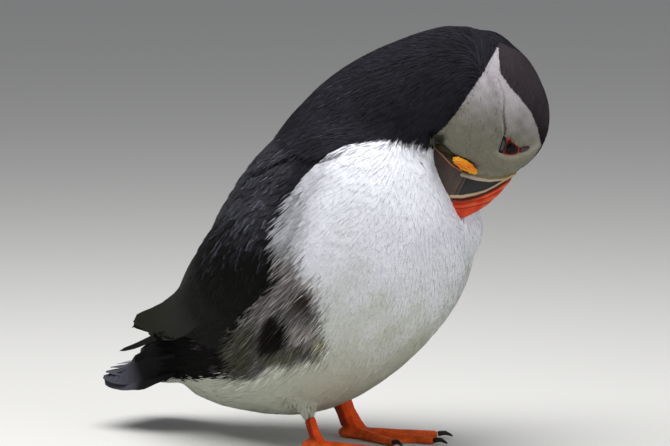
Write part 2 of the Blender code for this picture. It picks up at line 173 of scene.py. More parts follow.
# Ragged white plumes hang over the wing's front edge: behind this x, above this z, and this near to the dark.
FRINGE_X, FRINGE_LOW, FRINGE_REACH = 27, 66, 7
# Where the neck's feathers lap over the mantle, and a short notch below, as (x, z) lines on both sides.
# The coat is painted darker along these lines, as shadow.
FOLDS = (((40, 130.5), (31.5, 127.2), (25.6, 126.4), (14.3, 126.5), (5.9, 123.4), (-1.7, 120), (-11.2, 117)),
         ((15, 117.2), (22.5, 114.8)))

# The lie of the feathers: (x, y, z, the way they point, reach). Those off the middle count on both sides.
TRUNK_LIE = (
    (72, 0, 100, -0.15, 0, -1, 26),
    (60, 0, 60, -0.6, 0, -0.8, 24),
    (40, 40, 105, -0.62, 0.1, -0.78, 24),
    (20, 48, 90, -0.8, 0.1, -0.6, 18),
    (15, 46, 62, -0.72, 0, -0.7, 18),
    (18, 36, 42, -0.55, 0, -0.84, 16),
    (10, 0, 20, -1, 0, -0.1, 24),
    (-20, 36, 45, -0.75, -0.2, -0.62, 18),
    (-45, 18, 25, -1, 0, 0.1, 24),
    (0, 0, 125, -0.7, 0, -0.7, 26),
    (-30, 0, 90, -0.75, 0, -0.66, 26),
    (-60, 0, 50, -1, 0, -0.35, 24),
)
NECK_LIE = (
    (70, 20, 180, -1, -0.1, 0.1, 16),
    (45, 12, 180, -1, -0.15, -0.1, 18),
    (22, 6, 168, -0.8, -0.1, -0.6, 18),
    (6, 0, 148, -0.62, 0, -0.8, 18),
    (70, -2, 160, -0.55, -0.2, -0.8, 16),
    (45, -16, 150, -0.72, -0.15, -0.68, 18),
    (22, -25, 140, -0.62, -0.2, -0.76, 18),
    (70, 40, 160, -0.6, 0.2, -0.78, 16),
    (45, 38, 150, -0.72, 0.15, -0.68, 18),
    (22, 32, 140, -0.62, 0.2, -0.76, 18),
)
WING_LIE = (
    (15, 46, 108, -0.55, 0.1, -0.84, 14),
    (5, 50, 90, -0.58, 0, -0.81, 16),
    (-18, 46, 84, -0.66, -0.15, -0.74, 16),
    (-40, 38, 65, -0.8, -0.35, -0.5, 16),
    (-65, 22, 52, -0.93, -0.35, -0.2, 18),
    (-88, 11, 46, -0.95, -0.3, -0.15, 18),
)

# Kinds of feather by where they grow: spacing, length, width, rings, columns, coat depth, rise of the tip,
# waver of the lie in degrees, how far the colour pales along the edge, how closely its markings follow their
# lines (1) rather than hang from the root (0), how rounded a feather is, and how unlike its neighbours in
# shade.
COATS = {
    "face": (0.6, 3.4, 0.64, 3, 3, 0.24, 0.015, 5, 0.02, 1, 0.1, 0.3),
    "crown": (0.72, 3.8, 0.86, 3, 3, 0.32, 0.03, 6, 0.1, 1, 0.14, 0.7),
    "neck": (0.95, 9, 1, 3, 3, 0.6, 0.08, 9, 0.12, 1, 0.14, 1.6),
    "mantle": (2.2, 13, 4, 5, 5, 1.5, 0.1, 6, 0.15, 0.3, 0.1, 0.8),
    "breast": (0.9, 12, 1.5, 3, 3, 0.65, 0.01, 3.5, 0.02, 0.5, 0.03, 0.15),
    "fringe": (0.8, 12, 0.55, 4, 3, 1.3, 0.45, 14, 0.05, 0.2, 0.25, 0.6),
    "belly": (1.2, 10, 1.4, 3, 3, 0.8, 0.05, 9, 0.03, 0.5, 0.08, 0.3),
    "flank": (0.8, 12, 0.46, 4, 3, 1.6, 0.8, 15, 0.35, 0.8, 0.3, 4),
    "flank_edge": (0.95, 10, 0.36, 4, 3, 1.6, 0.9, 20, 0.3, 0, 0.3, 4),
    "rump": (1.4, 12, 1.5, 4, 3, 1.2, 0.2, 8, 0.4, 0.7, 0.18, 1.6),
    "covert": (2.2, 13, 3.6, 5, 5, 1, 0.12, 5, 0.2, 0.3, 0.14, 1.2),
    "quill": (3.2, 22, 4.6, 7, 5, 0.8, 0.08, 4, 0.25, 0.3, 0.12, 1),
    "tail_covert": (2.6, 12, 4.2, 5, 5, 0.8, 0.12, 6, 0.25, 0.3, 0.14, 1),
    "flank_hair": (2.6, 10, 0.34, 4, 3, 1.6, 1.3, 26, 0.3, 0.6, 0.3, 2),
    "edge_hair": (2, 10, 0.32, 4, 3, 1.6, 1.3, 30, 0.3, 0, 0.3, 2),
    "mantle_streak": (5.5, 9, 0.42, 4, 3, 1.5, 0.35, 12, 0.1, 0.3, 0.1, 2),
    "neck_streak": (6, 9, 0.36, 4, 3, 0.6, 0.3, 12, 0.1, 1, 0.1, 2),
    "covert_streak": (4.5, 8, 0.7, 4, 3, 1, 0.3, 10, 0.1, 0.3, 0.1, 3),
    "thigh": (0.95, 4.5, 0.8, 3, 3, 0.8, 0.35, 20, 0.05, 0.5, 0.2, 0.5),
}
# Single hairs and streaks among the feathers: the kind they grow among, their shade times its own, and how
# far they take the colour of the painted highlights on lit feather edges.
STRAYS = {
    "flank_hair": ("flank", 2.8, 0),
    "edge_hair": ("flank_edge", 2.8, 0),
    "mantle_streak": ("mantle", 1, 0.75),
    "covert_streak": ("covert", 1, 0.55),
    "neck_streak": ("neck", 1, 0.35),
}
COMB_ROUNDS = 14  # the lie is evened out in this many rounds
FACE_FAN = (34, 0, 2)  # the face's feathers point away from this place in the head's frame
NAPE = (40, 54)  # between these distances behind the head's origin they turn down the nape
# Roots tried for each one wanted, and the least distance between two as a share of the spacing.
ROOT_TRIES, ROOT_GAP = 3.2, 0.8
LENGTHS_VARY, WIDTHS_VARY = (0.78, 1.18), (0.8, 1.2)  # from one feather to the next, times its kind's
BEND = 0.5  # how far each step of a feather turns with the lie
SLIP = 0.35  # how far along its line a loosely marked feather's shades slip, as a share of its length
CRISP_FROM = 3.5  # feathers nearer than this to the cheek's border are shorter, down to CRISP_SHARE
CRISP_SHARE = 0.4
EDGE_TURN = 0.45  # a feather doesn't follow the form round a turn sharper than this (as a cosine)
OVERHANG = 0.12  # past such a turn it is shortened to this share
TUFT_SHAPE = {3: (0.55, 1, 0.72), 4: (0.55, 1, 0.85, 0.45)}
VANE_SHAPE = {5: (0.35, 0.85, 1, 0.92, 0.62), 7: (0.3, 0.7, 0.95, 1, 1, 0.9, 0.6)}
STREAKED = ("mantle", "covert")  # kinds whose trailing edge catches the light

# The bill: lines across its side, as (forward, up) pairs.
RIM = ((7.7, -3), (7.4, -1.2), (7, 4), (5.9, 9.3), (3.2, 14.6), (-0.7, 18.9), (-2.5, 20.5))
STRIPE = ((18.3, -5.2), (17.9, -3.3), (16.3, 1), (13.2, 5.9), (10.6, 9.2), (7.3, 12.2), (2.5, 15.9), (-2, 18.6))
LOWER_STRIPE = ((18.3, -4.5), (16.6, -8.5), (13.5, -12.5), (9.5, -16), (7, -18.5))
MOUTH = ((-2, -1.9), (6, -2.5), (29.5, -4.85))
LIP_SWELL = 0.25
TIP_GROOVES = (3, 5)
ORANGE_LINE = ((0.3, -18.6), (2.9, -12.9), (5.4, -7.9), (6.6, -2))
# The bill's lower edge on the side that lies in the breast, as (forward, up), and the bed that it presses
# there, as (forward, half its width). Then the rise of the bed's wall, how far it lies under the bill's side,
# and how rounded its upper rim is.
BILL_BED = ((-6, -22), (1.7, -18.3), (7.6, -15.2), (13.3, -9.3), (17.9, -3.8), (21, -0.6), (25.2, 3.4),
            (32, 10))
BED_HALF = ((-6, 5.5), (2, 4.8), (8, 4), (14, 3.4), (20, 2.4), (26, 1.4))
BED_SLOPE, BED_DEEPER, BED_ROUND = 3.2, 1.2, 1.2
BILL_CLEAR = 0.4  # body feathers keep this far off bill and rosettes
BY_THE_BILL = (45, 30, 40)  # only those that end this near to the head's origin can touch them
MOUTH_CLOSE = 0.75  # each half of the bill reaches this much towards the other
CHIN_REACH = 1.5  # and the lower half reaches this much further towards the throat

# A shank's depth from front to rear and its width, times the solid model's, and how far its upper end slims.
SHANK_SWELL = {"shank_left": (1.6, 1.2), "shank_right": (0.95, 0.95)}
SHANK_SLIM = {"shank_left": 0, "shank_right": 0.35}
LEG_FRONT = np.array((0.82, 0.57, 0))
SCUTE = 1.3  # from one band of scales on the shank to the next
BILL_VOXEL, ROSETTE_VOXEL, LEG_VOXEL, CLAW_VOXEL = 0.24, 0.2, 0.5, 0.25
# The rosette's pleats: how far they lean, from one to the next, and how high they stand.
PLEAT_LEAN, PLEAT_STEP, PLEAT_RISE = math.radians(12), 0.95, 0.16
# Eye: where it opens in the head's frame, the visible radius, and the outlines of the bare skin round it.
EYE_OPENING, EYE_VISIBLE = (-10, 12.8), 1.85
EYE_RADIUS, EYE_STANDS_OUT = 3.6, 0.55  # the ball, and how far its front passes the face
CORNEA, PUPIL = 0.3, 1.05  # how far the cornea swells, and the pupil's radius
PAD_CORNERS, PAD_RINGS = 48, 9  # the mesh of a pad of bare skin
EYE_MOUND, MOUND_ROUNDS = 6.5, 45  # the face is smoothed this far round the eye, in this many rounds
RING = ((-6.5, 10.2), (-6.7, 12.2), (-7.2, 13.9), (-7.9, 15.4), (-9.2, 16.8), (-10.6, 16.5), (-11.7, 16.1),
        (-11.7, 14.8), (-12.3, 13.4), (-12.7, 12), (-14.1, 11.1), (-13.6, 10.1), (-12, 9.9), (-9.7, 10.5),
        (-7.6, 10.6))
BAR = ((-13.8, 8.3), (-12.8, 9.7), (-11.1, 10.1), (-9.1, 10.4), (-7.3, 10.4), (-6.6, 10.3), (-6.5, 8.7),
       (-7, 8.4), (-10.9, 8.2), (-13.2, 8))
ROSETTE = ((5.2, 2.9), (3.2, 3), (1.6, 0.5), (2, -4.5), (3, -8), (5.2, -8.6), (6, -4), (6, 0))
GAPE_EDGE = ((-21, -0.4), (-18, -0.5), (-16.4, -1), (-14.6, -1.9), (-12, -0.7), (-8.2, 0.8), (-4, 2))
PLATE = ((-10.6, 16.3), (-11.4, 16.5), (-12.5, 18.2), (-13.3, 19.5), (-13.4, 20.4), (-12.5, 20.3), (-11.1, 19.3),
         (-10, 18.1), (-9.4, 16.9))
EYE_BAND = ((-6.1, 8.2), (-5.7, 9.9), (-5.9, 12.5), (-6.3, 15), (-8.1, 17.7), (-10.3, 20.1), (-13.2, 21.9),
            (-15.3, 23.5))  # a painted highlight in front of the eye
GAPE_STRIP = ((-1.2, -16), (-1.6, -14.6), (-0.4, -12), (0.8, -8.2), (3.4, -8.2), (2.9, -12.5), (1.5, -15.8),
              (0.4, -16.8))

# Long feathers of the folded wing, from the lowest to the uppermost: where each roots and ends along the
# wing, how high it lies there from the lower edge (-1) to the upper (1), and its width.
FLIGHT = (
    (0.4, 0.72, -0.9, -0.8, 6.5), (0.41, 0.77, -0.72, -0.6, 6.5), (0.42, 0.81, -0.54, -0.45, 6.5),
    (0.43, 0.85, -0.36, -0.3, 6.5), (0.44, 0.89, -0.18, -0.15, 6.5), (0.45, 0.93, 0, 0, 6.5),
    (0.46, 0.965, 0.2, 0.2, 6.5), (0.48, 0.99, 0.42, 0.35, 6), (0.5, 1, 0.64, 0.5, 6),
    (0.46, 0.9, 0.85, 0.8, 5.5), (0.4, 0.78, 0.75, 0.88, 5.5), (0.36, 0.66, 0.5, 0.8, 5.5),
)
BLADE_FROM = -52  # behind this only the long feathers cover the wing
# The wing's midline from front to tip: (x, y of the right wing, z, half its height).
WING_LINE = ((17.7, -43.5, 106, 8), (10.7, -45, 102, 18), (-5.3, -46, 91, 22),
             (-26.3, -41.5, 74.5, 20), (-46.3, -30, 58.5, 13), (-62.3, -21.5, 51, 8.8),
             (-77.3, -15, 48, 5.6), (-88.3, -11, 45.8, 2.2))
# The slim tip of a flight feather that shows below the right wing's blade: its line, and its width.
WING_SPIKE = ((-60, -20.5, 46.5), (-74, -15.5, 41), (-87, -10.5, 36), (-99, -6.5, 32.3))
WING_SPIKE_WIDTH = 3.2
# Tail feathers lie like the ridge of a tent: how many, their width, the turn of the outermost, and the ridge
# as (x, half width, top, bottom) from the root to the tip.
TAIL_QUILLS, TAIL_WIDTH, TAIL_TURN = 9, 9, 70
TAIL_TENT = ((-60, 17.5, 48, 27), (-74, 19.3, 39, 22), (-84, 20, 31.4, 20.9),
             (-93, 18.6, 28, 20.6), (-102.2, 15, 26, 20.4))
TAIL_COVERTS_END = -66  # where the last small feathers over the quills root
TAIL_ROUNDING = 1.5  # the outermost feathers end this much short of the middle one
TAIL_TIP_FROM = -82  # behind this the quills are slate


def linear(r, g, b):
    """A colour as seen on a screen, 0 to 255, as the linear values that Blender wants."""
    return tuple(((c / 255 + 0.055) / 1.055) ** 2.4 if c > 10 else c / 255 / 12.92 for c in (r, g, b))


def tint(label, note, *seen):
    return FloatVectorProperty(
        name=label, description=note, subtype="COLOR", size=3, min=0.0, max=1.0, default=linear(*seen)
    )


def share(label, note, value):
    return FloatProperty(name=label, description=note, default=value, min=0.0, max=1.0, subtype="FACTOR")


class PUFFIN_PG_plumage(bpy.types.PropertyGroup):
    back: tint("Back", "Mantle and shoulders", 42, 42, 47)
    # A painted highlight where light catches the edges of the mantle's and wing's feathers.
    back_edge_highlight: tint("Back edges", "Paler fringes on the mantle feathers", 118, 120, 134)
    wing: tint("Wing", "Folded wing", 10, 10, 8)
    collar: tint("Collar", "Neck, nape and collar", 33, 32, 37)
    crown: tint("Crown", "Top of the head", 58, 52, 56)
    cheek: tint("Cheek", "Cheek towards the nape", 186, 180, 185)
    # Darker than the cheek by the nape partly as painted shade; the faint green is its own.
    cheek_front: tint("Cheek by the bill", "Cheek towards the bill, faintly green", 130, 127, 112)
    breast: tint("Breast", "Silky white underside", 233, 234, 241)
    # Darker than the breast: partly the underside's own duller, faintly green tone, partly painted shade.
    belly: tint("Belly", "Underside towards the tail", 186, 190, 174)
    flank_pale: tint("Flank, pale", "Palest of the flank feathers", 170, 165, 163)
    flank_dark: tint("Flank, dark", "Dark middle of the flank patch", 30, 26, 24)
    flank_olive: tint("Flank, olive", "Olive spot at the patch's corner", 137, 136, 118)
    rump: tint("Rump", "Sides of the rump below the wing", 13, 12, 11)
    # A painted sheen on the rump's sides.
    rump_sheen: tint("Rump streaks", "Paler mauve streaks on the rump's sides", 80, 72, 76)
    tail: tint("Tail", "Tail feathers", 15, 14, 14)
    tail_tip: tint("Tail tip", "Ends of the tail feathers", 64, 64, 72)
    lengths: FloatProperty(name="Feather length", description="Times the length of every small feather",
                           default=1.0, min=0.5, max=1.5)
    shade_waver: share("Shade waver", "How much one feather's shade differs from the next", 0.10)
    seed: IntProperty(name="Seed", description="Another number grows the coat anew", default=7, min=0)


class PUFFIN_PG_bare_parts(bpy.types.PropertyGroup):
    cream: tint("Cream", "Rim and stripe across the bill", 178, 166, 146)
    slate: tint("Slate", "Bill between rim and stripe", 44, 45, 44)
    brown: tint("Slate brown", "Base of the lower bill and the mouth's edge", 76, 64, 58)
    red: tint("Red", "End of the bill", 196, 44, 14)
    orange: tint("Orange", "Paler ridges in the red", 224, 100, 50)
    rosette: tint("Rosette", "Fleshy corner of the mouth", 236, 144, 6)
    ring: tint("Eye ring", "Bare ring round the eye", 160, 52, 38)
    plate: tint("Eye plate", "Small plates above and below the eye", 78, 84, 88)
    iris: tint("Iris", "Dark brown iris", 18, 12, 10)
    leg: tint("Leg", "Legs, toes and webs", 242, 82, 2)
    claw: tint("Claw", "Claws", 34, 31, 30)


class PUFFIN_PG_stage(bpy.types.PropertyGroup):
    azimuth: FloatProperty(name="Azimuth", description="Camera's turn round the bird", subtype="ANGLE",
                           unit="ROTATION", default=math.radians(35))
    elevation: FloatProperty(name="Elevation", description="Camera's height over the horizon", subtype="ANGLE",
                             unit="ROTATION", default=math.radians(7))
    distance: FloatProperty(name="Distance", description="From the camera to the bird", subtype="DISTANCE",
                            unit="LENGTH", default=2.5, min=0.5)
    lens: FloatProperty(name="Lens", description="Focal length in millimetres", default=315.7, min=20.0)
    floor: tint("Floor", "Plain floor and backdrop", 208, 207, 204)
    key: FloatProperty(name="Key light", description="Power of the large soft light overhead, in watts",
                       subtype="POWER", unit="POWER", default=11.0, min=0.0)
    fill: FloatProperty(name="Surrounding light", description="Strength of the even light all round",
                        default=0.30, min=0.0)


# ---- Small tools ----


def unit(vectors):
    """The vectors at length 1."""
    return vectors / np.maximum(np.linalg.norm(vectors, axis=-1, keepdims=True), 1e-9)


def level(ways, normals):
    """Ways laid flat along a surface."""
    return unit(ways - normals * (ways * normals).sum(1)[:, None])


def ramp(x, low, high):
    """0 up to low, 1 from high, and smooth between."""
    t = np.clip((x - low) / (high - low), 0, 1)
    return t * t * (3 - 2 * t)


def along(knots, x):
    """The second number of the knots at x, in straight runs from knot to knot."""
    return np.interp(x, [k[0] for k in knots], [k[1] for k in knots])


def ripple(points, size, seed):
    """Smooth noise from about -1 to 1 whose bumps are about size across."""
    dice = np.random.default_rng(seed)
    waves = dice.normal(size=(9, 3)) * (2.2 / size)
    phases = dice.uniform(0, 2 * math.pi, 9)
    return np.sin(points @ waves.T + phases).sum(1) / 3.2


def bell(x, width):
    """1 at 0, fading to nothing at about twice the width."""
    return np.exp(-((x / width) ** 2))


def mix(a, b, t):
    """From a at t = 0 to b at t = 1."""
    return a + (b - a) * np.asarray(t)[..., None]


def line_distance(points, line):
    """How far points (n, 2) lie from a line of pairs: below 0 on its left as it runs, else above 0."""
    best, side = np.full(len(points), 1e9), np.ones(len(points))
    for a, b in zip(np.array(line[:-1], float), np.array(line[1:], float)):
        run = b - a
        t = np.clip((points - a) @ run / (run @ run), 0, 1)
        off = points - (a + t[:, None] * run)
        d = np.linalg.norm(off, axis=1)
        nearer = d < best
        best = np.where(nearer, d, best)
        turn = run[0] * off[:, 1] - run[1] * off[:, 0]
        side = np.where(nearer, -np.sign(turn), side)
    return best * side


def inside(points, outline, grow=0.0):
    """How deep points (n, 2) lie within a closed outline: above 0 inside it, below 0 outside."""
    ring = [*outline, outline[0]]
    depth = np.abs(line_distance(points, ring))
    odd = np.zeros(len(points), bool)
    for (ax, ay), (bx, by) in zip(ring[:-1], ring[1:]):
        if ay == by:
            continue
        crosses = (points[:, 1] >= min(ay, by)) & (points[:, 1] < max(ay, by))
        odd ^= crosses & (points[:, 0] < ax + (points[:, 1] - ay) * (bx - ax) / (by - ay))
    return np.where(odd, depth, -depth) + grow


def spots(points, places):
    """From 0 to 1 near the places (u, v, reach)."""
    total = np.zeros(len(points))
    for u, v, reach in places:
        total = np.maximum(total, np.exp(-((points[:, 0] - u) ** 2 + (points[:, 1] - v) ** 2) / reach**2))
    return total


def middle_of(node):
    """The middle of a CAD node's box."""
    low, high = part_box(node)
    return np.array((low + high) / 2) / MM


def head_frame():
    """The head's own axes as rows (forward, left, up) and their origin, in the bird's frame."""
    eyes = (middle_of("eye_left") + middle_of("eye_right")) / 2
    rosettes = (middle_of("rosette_left") + middle_of("rosette_right")) / 2
    left = unit(middle_of("eye_left") - middle_of("eye_right"))
    forward_share, _, up_share = unit(np.array(ROSETTES_MIDDLE) - np.array(EYES_MIDDLE))
    down_bill = unit(rosettes - eyes)
    across = np.cross(left, down_bill)
    forward = forward_share * down_bill + up_share * across
    up = up_share * down_bill - forward_share * across
    axes = np.array((forward, left, up))
    return axes, eyes - np.array(EYES_MIDDLE) @ axes


HEAD_AXES, HEAD_ORIGIN = head_frame()


def to_head(points):
    return (points - HEAD_ORIGIN) @ HEAD_AXES.T


def from_head(points):
    return np.asarray(points, float) @ HEAD_AXES + HEAD_ORIGIN


class Palette:
    """The colours of one of the settings' groups by name, as arrays."""

    def __init__(self, name):
        group = getattr(bpy.context.scene, "puffin_" + name)
        for key, facts in group.bl_rna.properties.items():
            if getattr(facts, "subtype", "") == "COLOR":
                setattr(self, key, np.array(getattr(group, key)))


def deselect():
    if bpy.context.mode != "OBJECT":
        bpy.ops.object.mode_set(mode="OBJECT")
    bpy.ops.object.select_all(action="DESELECT")


def choose(obj):
    deselect()
    obj.select_set(True)
    bpy.context.view_layer.objects.active = obj


def on_all_faces(obj, *steps):
    """Runs operators on all of an object's mesh in edit mode, each with the facts that it takes."""
    choose(obj)
    bpy.ops.object.mode_set(mode="EDIT")
    for operator, facts in steps:
        bpy.ops.mesh.select_all(action="SELECT")
        operator(**facts)
    bpy.ops.object.mode_set(mode="OBJECT")


def joined(made, name):
    """The objects made into one of that name."""
    deselect()
    for obj in made:
        obj.select_set(True)
    bpy.context.view_layer.objects.active = made[0]
    if len(made) > 1:
        bpy.ops.object.join()
    obj = bpy.context.view_layer.objects.active
    obj.name = obj.data.name = name
    return obj


def copy_of(nodes, name, shapers=None):
    """One object made of copies of CAD nodes, loose triangles merged. A shaper changes its copy first."""
    made = []
    for node in nodes:
        obj = frame["nodes"][node].copy()
        obj.data = obj.data.copy()
        obj.parent = None
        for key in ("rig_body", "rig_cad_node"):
            del obj[key]
        bpy.context.scene.collection.objects.link(obj)
        obj.hide_render = obj.hide_viewport = False
        obj.data.materials.clear()
        if shapers and node in shapers:
            shapers[node](obj, node)
        made.append(obj)
    obj = joined(made, name)
    on_all_faces(obj, (bpy.ops.mesh.remove_doubles, MERGED))
    obj.data.materials.clear()
    return obj


def melt(obj, voxel, grow=0.0):
    """The object's shells as one even mesh of triangles, grown outwards first."""
    if grow:
        push = obj.modifiers.new("Grow", "DISPLACE")
        push.strength, push.mid_level = grow * MM, 0.0
    even = obj.modifiers.new("Even", "REMESH")
    even.mode, even.voxel_size = "VOXEL", voxel * MM
    obj.modifiers.new("Halve", "TRIANGULATE")
    choose(obj)
    for name in [m.name for m in obj.modifiers]:
        bpy.ops.object.modifier_apply(modifier=name)


def smooth_copy(nodes, name, voxel, rounds, hold=None, shapers=None):
    """A melted, smoothed copy of CAD nodes: object, points, normals. Hold gives how freely points move."""
    obj = copy_of(nodes, name, shapers)
    melt(obj, voxel)
    points, normals, triangles = read(obj.data)
    return obj, relaxed(points, edges_of(triangles), rounds, hold(points) if hold else None), normals


def listed(items, key, width, kind=np.float32):
    """One property of each item, as rows of an array."""
    flat = np.empty(len(items) * width, kind)
    items.foreach_get(key, flat)
    return flat.reshape(-1, width)


def read(mesh):
    """A mesh's points in millimetres, its normals and its triangles."""
    points, normals = listed(mesh.vertices, "co", 3), listed(mesh.vertex_normals, "vector", 3)
    mesh.calc_loop_triangles()
    triangles = listed(mesh.loop_triangles, "vertices", 3, np.int32)
    return points.astype(float) / MM, normals.astype(float), triangles


def write(mesh, points):
    mesh.vertices.foreach_set("co", (points * MM).astype(np.float32).ravel())
    mesh.update()


def within_box(points):
    """The points, kept inside the solid model's box."""
    low, high = np.array(CAD_BOX[0]) / MM, np.array(CAD_BOX[1]) / MM
    return np.clip(points, low + 0.01, high - 0.01)


def edges_of(triangles):
    """The pairs of points that the triangles' edges join, each once."""
    pairs = np.sort(np.concatenate((triangles[:, :2], triangles[:, 1:], triangles[:, ::2])), axis=1)
    return np.unique(pairs, axis=0)


def neighbour_mean(values, edges):
    """Each vertex's mean of its neighbours' values."""
    ends, others = np.concatenate((edges[:, 0], edges[:, 1])), np.concatenate((edges[:, 1], edges[:, 0]))
    count = np.maximum(np.bincount(ends, minlength=len(values)), 1)
    columns = [
        np.bincount(ends, weights=values[others, k], minlength=len(values)) for k in range(values.shape[1])
    ]
    return np.stack(columns, 1) / count[:, None]


def relaxed(points, edges, rounds, keep=None):
    """Points smoothed in turns that shrink and swell, so that the form keeps its size."""
    for _ in range(rounds):
        for step in (0.62, -0.64):
            moved = (neighbour_mean(points, edges) - points) * step
            points = points + (moved if keep is None else moved * keep[:, None])
    return points


def paint(mesh, colours):
    """Gives a mesh its colours: one for each point, or one for all."""
    layer = mesh.color_attributes.get(COLOUR) or mesh.color_attributes.new(COLOUR, "FLOAT_COLOR", "POINT")
    rgba = np.ones((len(mesh.vertices), 4), np.float32)
    rgba[:, :3] = np.clip(colours, 0, 1)
    layer.data.foreach_set("color", rgba.ravel())


def mesh_object(name, points, triangles, colours, maps=None):
    """An object from arrays: points in millimetres, triangles, a colour for each point, and maps by point."""
    mesh = bpy.data.meshes.new(name)
    mesh.vertices.add(len(points))
    mesh.vertices.foreach_set("co", (within_box(points) * MM).astype(np.float32).ravel())
    mesh.loops.add(triangles.size)
    mesh.loops.foreach_set("vertex_index", triangles.astype(np.int32).ravel())
    mesh.polygons.add(len(triangles))
    mesh.polygons.foreach_set("loop_start", np.arange(0, triangles.size, 3, dtype=np.int32))
    mesh.update(calc_edges=True)
    mesh.validate()
    paint(mesh, colours)
    for map_name, uv in (maps or {}).items():
        layer = mesh.uv_layers.new(name=map_name)
        layer.data.foreach_set("uv", uv[triangles.ravel()].astype(np.float32).ravel())
    mesh.shade_smooth()
    obj = bpy.data.objects.new(name, mesh)
    bpy.context.scene.collection.objects.link(obj)
    return obj


def finish_piece(obj, material, slot, replaces=()):
    """Gives a finished piece its material, and sets it on the body. The slot is not used."""
    if not len(obj.data.polygons):
        raise RuntimeError(f"{obj.name} has no faces")
    obj.data.materials.clear()
    obj.data.materials.append(material)
    obj.parent = None
    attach(obj, ROOT)
    if replaces:
        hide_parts(*replaces)


def shaped_piece(obj, points, colours, *finish):
    """Gives a smooth piece its points and colours, and finishes it."""
    write(obj.data, points)
    paint(obj.data, colours)
    obj.data.shade_smooth()
    finish_piece(obj, *finish)


# ---- Materials ----


class Graph:
    """A material's nodes, added one at a time."""

    def __init__(self, name):
        self.material = bpy.data.materials.new(name)
        self.material.use_nodes = True
        self.nodes, self.links = self.material.node_tree.nodes, self.material.node_tree.links
        self.shader = self.nodes["Principled BSDF"]

    def add(self, kind, inputs=(), **facts):
        node = self.nodes.new("ShaderNode" + kind)
        for name, value in facts.items():
            setattr(node, name, value)
        for socket, value in dict(inputs).items():
            if isinstance(value, bpy.types.NodeSocket):
                self.links.new(value, node.inputs[socket])
            else:
                node.inputs[socket].default_value = value
        return node

    def math(self, operation, a, b=0.0, c=0.5):
        return self.add("Math", {0: a, 1: b, 2: c}, operation=operation).outputs[0]

    def set(self, **values):
        for name, value in values.items():
            socket = self.shader.inputs[name.replace("_", " ").title().replace("Ior", "IOR")]
            if isinstance(value, bpy.types.NodeSocket):
                self.links.new(value, socket)
            else:
                socket.default_value = value

    def bump(self, height, distance, strength=1.0):
        node = self.add("Bump", {"Height": height, "Distance": distance * MM, "Strength": strength})
        self.links.new(node.outputs["Normal"], self.shader.inputs["Normal"])

    def painted(self):
        return self.add("Attribute", attribute_name=COLOUR).outputs["Color"]

    def object_noise(self, size, detail=2.0):
        """Noise whose grains are about size millimetres across."""
        place = self.add("TexCoord").outputs["Object"]
        inputs = {"Vector": place, "Scale": 1 / (size * MM), "Detail": detail}
        return self.add("TexNoise", inputs).outputs["Fac"]

    def shaded(self, colour_socket, value, low, high):
        """The colour, times low to high as value goes from 0 to 1."""
        factor = self.math("MULTIPLY_ADD", value, high - low, low)
        grey = self.add("CombineColor", {0: factor, 1: factor, 2: factor}).outputs[0]
        inputs = {0: 1.0, 6: colour_socket, 7: grey}
        return self.add("Mix", inputs, data_type="RGBA", blend_type="MULTIPLY").outputs[2]


def feather_material(name, barbs, roughness, sheen, gloss, depth):
    """Painted feathers with fine barbs slanting off the shaft, and a shaft line."""
    g = Graph(name)
    vane = g.add("UVMap", uv_map=VANE_MAP).outputs["UV"]
    split = g.add("SeparateXYZ", {0: vane})
    side = g.math("ABSOLUTE", g.math("SUBTRACT", split.outputs["X"], 0.5))
    slant = g.math("MULTIPLY_ADD", side, -0.5, split.outputs["Y"])
    waves = g.math("SINE", g.math("MULTIPLY", slant, barbs * 2 * math.pi))
    barb = g.math("MULTIPLY_ADD", waves, 0.5, 0.5)
    grain = g.object_noise(0.5)
    height = g.math("ADD", g.math("MULTIPLY", barb, 0.6), g.math("MULTIPLY", grain, 0.4))
    tone = g.shaded(g.shaded(g.painted(), barb, 0.90, 1.06), grain, 0.84, 1.16)
    g.set(base_color=tone, roughness=roughness)
    g.set(sheen_weight=sheen, sheen_roughness=0.4, specular_ior_level=gloss)
    g.bump(height, depth, 0.6)
    return g.material


def skin_material():
    g = Graph("puffin_skin")
    grain = g.object_noise(1.2, 4.0)
    # The skin is painted darker than the coat, as shade in the gaps between feathers, with a grain.
    g.set(base_color=g.shaded(g.painted(), grain, 0.70, 0.95), roughness=0.9, specular_ior_level=0.05)
    g.bump(grain, 0.5)
    return g.material


def horn_material():
    g = Graph("bill_horn")
    fine, wear = g.object_noise(0.7, 3.0), g.object_noise(4, 4.0)
    g.set(base_color=g.shaded(g.shaded(g.painted(), fine, 0.88, 1.12), wear, 0.80, 1.20),
          roughness=g.math("MULTIPLY_ADD", wear, 0.25, 0.26), specular_ior_level=0.22)
    g.bump(fine, 0.05, 0.7)
    return g.material


def flesh_material(name, roughness, scale, depth, coat, gloss):
    """Bare skin in small rounded scales."""
    g = Graph(name)
    inputs = {"Vector": g.add("TexCoord").outputs["Object"], "Scale": 1 / (scale * MM)}
    cells = g.add("TexVoronoi", inputs, feature="SMOOTH_F1").outputs["Distance"]
    mottle = g.object_noise(2.6, 3.0)
    tone = g.shaded(g.shaded(g.painted(), cells, 1.10, 0.72), mottle, 0.80, 1.20)
    g.set(base_color=tone, roughness=roughness)
    g.set(coat_weight=coat, coat_roughness=0.3, subsurface_weight=0.08, subsurface_scale=0.0012)
    g.set(specular_ior_level=gloss)
    g.bump(g.math("SUBTRACT", 1.0, cells), depth, 0.8)
    return g.material


def eye_material():
    g = Graph("wet_eye")
    grain = g.object_noise(0.25, 3.0)
    g.set(base_color=g.shaded(g.painted(), grain, 0.7, 1.3), roughness=0.06, specular_ior_level=0.10)
    return g.material


def floor_material(tone):
    g = Graph("stage_floor")
    g.set(base_color=(*tone, 1.0), roughness=0.9, specular_ior_level=0.1)
    return g.material


# ---- The form under the coat ----


